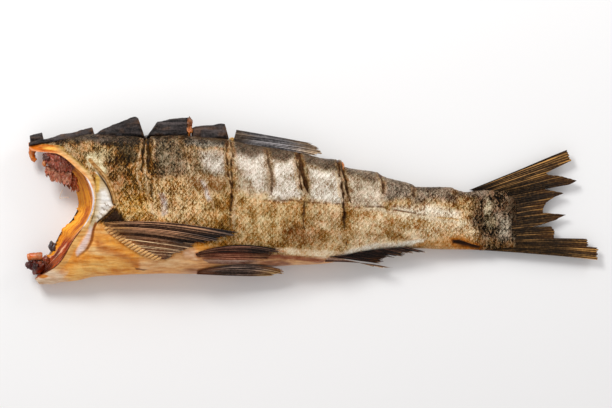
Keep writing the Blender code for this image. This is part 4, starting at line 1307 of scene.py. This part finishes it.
def make_tail():
    """The torn tail fin: one fan of rays from the skin's end, torn into blades."""
    torn = (
        (203, 44), (206.2, 41.2), (207.8, 37), (209.8, 32), (190, 22.4), (191, 21), (203, 19.6), (215, 16),
        (208.4, 12.7), (188, 11), (178, 9.4), (191, 8.2), (204, 5.6), (197, 2.8), (190, -1.8), (187, -6.4),
        (187, -10.4), (205.4, -12), (197, -16.6), (188, -19.6), (176, -22), (193.6, -21.4), (195.6, -26),
        (195, -31), (223.6, -30.8), (222.6, -37.4), (231.4, -37.6), (231, -48), (229, -51),
    )  # fmt: skip
    rayed_fin(
        "tail_fin",
        [(127, 8.4), (146, 4.0), (152, -8), (152, -20), (146, -31), (131, -39.6)],
        [(208, 41.6), (222, 22), (218, 2), (216, -16), (224, -32), (235, -48.4)],
        46,
        lambda x, y, t: 7.7 + 0.7 * (1 - t) + 0.8 * np.sin(y / 4.5) + 0.4 * np.sin(y / 1.9),
        rise=0.8, fray=0.02, rows=110, thick=1.3, bend=(0.0, 1.5), torn=torn,
        show=0.8, film=0.05, middle=((20, 11, 3), (176, 130, 76)), tips=((60, 32, 6), (196, 144, 76)),
        roots=((3, 2, 1), (60, 42, 28)), seed=20.0,
        light=lambda x, y: (
            0.45 + 0.7 * ramp(y - 0.3 * (x - 170), 2, 16) + 0.7 * ramp(x, 204, 220) * ramp(-y, 28, 34)
        ),
    )  # fmt: skip


# ---------------------------------------------------------------- scraps


def lump(name, centre, size, seed, deep, bright, share=0.5, rough=0.3):
    """A small knobbly scrap of flesh."""
    rows, around = 26, 30
    lean = np.linspace(0.02, np.pi - 0.02, rows)[:, None]
    turn = np.linspace(0, 2 * np.pi, around, endpoint=False)[None, :]
    across, up = np.sin(lean) * np.cos(turn), np.sin(lean) * np.sin(turn)
    way = np.stack([np.cos(lean) + 0 * turn, across, up], -1)
    bump = 1 + rough * noise(way[..., 0] * 2.4 + 7, way[..., 1] * 2.4 + way[..., 2] * 1.9, seed)
    bump += 0.5 * rough * noise(way[..., 0] * 6, way[..., 1] * 5 + way[..., 2] * 4, seed + 1)
    rings = np.array(centre, float) + way * np.array(size) / 2 * bump[..., None]
    points, faces = tube(rings)
    piece(name, points, faces, FLESH, *tones(deep, bright, share))


def make_scraps():
    """What the knife left on the notch, and the flesh that shows in the scores and under the dorsal fin."""
    tatter("flesh_roof", [(-212.6, 37.4), (-205, 38.4), (-198, 36.6), (-191, 31)],
           [(-211.6, 30), (-205, 25.4), (-198, 23.6), (-190, 22)], 27, (78, 30, 20), (176, 98, 72), 41,
           ragged=1.0, thick=3.4)
    tatter("flesh_shreds", [(-212, 27.6), (-205, 27), (-197, 25.4), (-190, 23)],
           [(-211, 19.4), (-205, 16.6), (-199, 14.4), (-192, 12)], 23.5, (110, 48, 30), (218, 146, 112), 43,
           ragged=1.6, thick=2.4)
    tatter("flesh_back", [(-201, 23.6), (-196, 24.5), (-191, 23), (-187, 18)],
           [(-198.6, 14), (-194, 10.6), (-190, 8.6), (-184.6, 6.4)], 21, (92, 32, 12), (188, 96, 44), 44,
           ragged=1.6, thick=2.6)
    lump("flesh_tip", (-210.4, 34.6, 26.4), (5.6, 6.2, 5), 42, (30, 12, 10), (112, 62, 50), 0.4)
    lump("flesh_curl", (-212.2, 29.6, 26.2), (3.2, 5.6, 4), 45, (130, 52, 14), (236, 156, 92), 0.5)
    hook = line([(-210, 43.6, 13.4), (-218, 43.4, 13.2), (-222.6, 41.4, 12.6), (-223.6, 37.4, 12.2),
                 (-222.6, 33.6, 11.8), (-220.6, 31.8, 11.6)], 30)
    points, faces = tube(rope(hook, np.linspace(4.2, 1.7, 30), around=20, bumpy=0.3, seed=46))
    piece("nape_hook", points, faces, FLESH, *tones((140, 54, 6), (240, 142, 54), 0.5))
    lump("throat_core", (-219.5, -52, 10), (13, 14, 11), 60, (60, 16, 10), (150, 66, 40), 0.36, rough=0.25)
    lump("throat_dark_1", (-225.4, -51.6, 15), (5.6, 5.6, 6), 47, (10, 3, 3), (110, 40, 36), 0.3)
    lump("throat_dark_2", (-220.4, -52.4, 16), (5.4, 5, 6), 48, (10, 4, 4), (100, 50, 44), 0.3)
    lump("throat_dark_3", (-215.6, -50.6, 16), (4.6, 5, 5), 61, (40, 12, 6), (176, 90, 56), 0.4)
    lump("throat_dark_5", (-211.6, -47.6, 16), (5, 6.4, 5), 62, (46, 14, 6), (190, 100, 56), 0.42)
    lump("throat_dark_4", (-207.4, -37.2, 14), (5.4, 7.6, 6), 49, (14, 9, 9), (104, 84, 84), 0.32)
    strip = line([(-226.6, -45.4, 15), (-221, -44.6, 15.6), (-214.8, -44.4, 15)], 16)
    points, faces = tube(rope(strip, 2.9, around=16, flat=0.8, bumpy=0.15, seed=50))
    piece("throat_strip", points, faces, FLESH, *tones((140, 56, 18), (226, 128, 66), 0.5))
    thread = line([(-198, 8.5, 21), (-200, 4, 20), (-200.4, 1.6, 20), (-196.5, 2.4, 20.4),
                   (-192.6, 2.6, 21)], 30)
    points, faces = tube(rope(thread, 0.22, around=6))
    piece("loose_thread", points, faces, GRISTLE, *tones((186, 150, 112), (236, 214, 184), 0.5))
    lump("dorsal_flesh", (-28.2, 40.2, 20.6), (7.6, 4.6, 5), 52, (100, 42, 8), (190, 104, 28), 0.4)
    lump("score_flesh", (24.6, 26.2, 23.4), (3.8, 9.6, 10), 53, (150, 76, 16), (232, 150, 62), 0.52)
    # The floor of the first scores, near black: painted shade deep in the cut.
    lump("score_floor_shade", (-131.2, 49.4, 21), (9.4, 4.6, 9), 54, (16, 8, 4), (92, 60, 36), 0.3)


# ---------------------------------------------------------------- the studio


def make_studio():
    """A plain pale floor, soft light from above the fish's back, and the camera straight above."""
    scene = bpy.context.scene
    scene.view_settings.view_transform = "Standard"
    paper = bpy.data.materials.new("studio_paper")
    paper.use_nodes = True
    shader = paper.node_tree.nodes["Principled BSDF"]
    shader.inputs["Base Color"].default_value = (0.868, 0.87, 0.862, 1)
    shader.inputs["Roughness"].default_value = 0.9
    shader.inputs["Specular IOR Level"].default_value = 0.1
    mesh = bpy.data.meshes.new("floor")
    reach = 4.0
    corners = [(-reach, -reach, 0), (reach, -reach, 0), (reach, reach, 0), (-reach, reach, 0)]
    mesh.from_pydata(corners, [], [(0, 1, 2, 3)])
    mesh.materials.append(paper)
    floor = bpy.data.objects.new("floor", mesh)
    floor.location.z = LOW[2]
    scene.collection.objects.link(floor)
    world = bpy.data.worlds.new("studio")
    world.use_nodes = True
    world.node_tree.nodes["Background"].inputs["Color"].default_value = (1.0, 0.972, 0.985, 1)
    world.node_tree.nodes["Background"].inputs["Strength"].default_value = 0.59
    scene.world = world
    for name, place, size, power in (
        ("key", (-0.50, 0.72, 0.92), 0.42, 9.9),
        ("side", (0.75, 0.75, 0.62), 0.40, 2.8),
    ):
        lamp = bpy.data.lights.new(name, "AREA")
        lamp.shape = "SQUARE"
        lamp.size = size
        lamp.energy = power
        holder = bpy.data.objects.new(name, lamp)
        holder.location = place
        holder.rotation_euler = look_along(-np.array(place))
        scene.collection.objects.link(holder)
    camera = bpy.data.cameras.new("camera")
    camera.lens = 123.9
    eye = bpy.data.objects.new("camera", camera)
    eye.location = (-0.004, -0.0028, 1.7)
    scene.collection.objects.link(eye)
    scene.camera = eye


def look_along(direction):
    """The rotation that points a lamp's or a camera's -Z along the direction."""
    return Vector(direction).to_track_quat("-Z", "Y").to_euler()


make_skin()
make_collar()
make_back()
make_dorsal()
make_pectoral()
make_pelvic()
make_anal()
make_tail()
make_scraps()
make_studio()
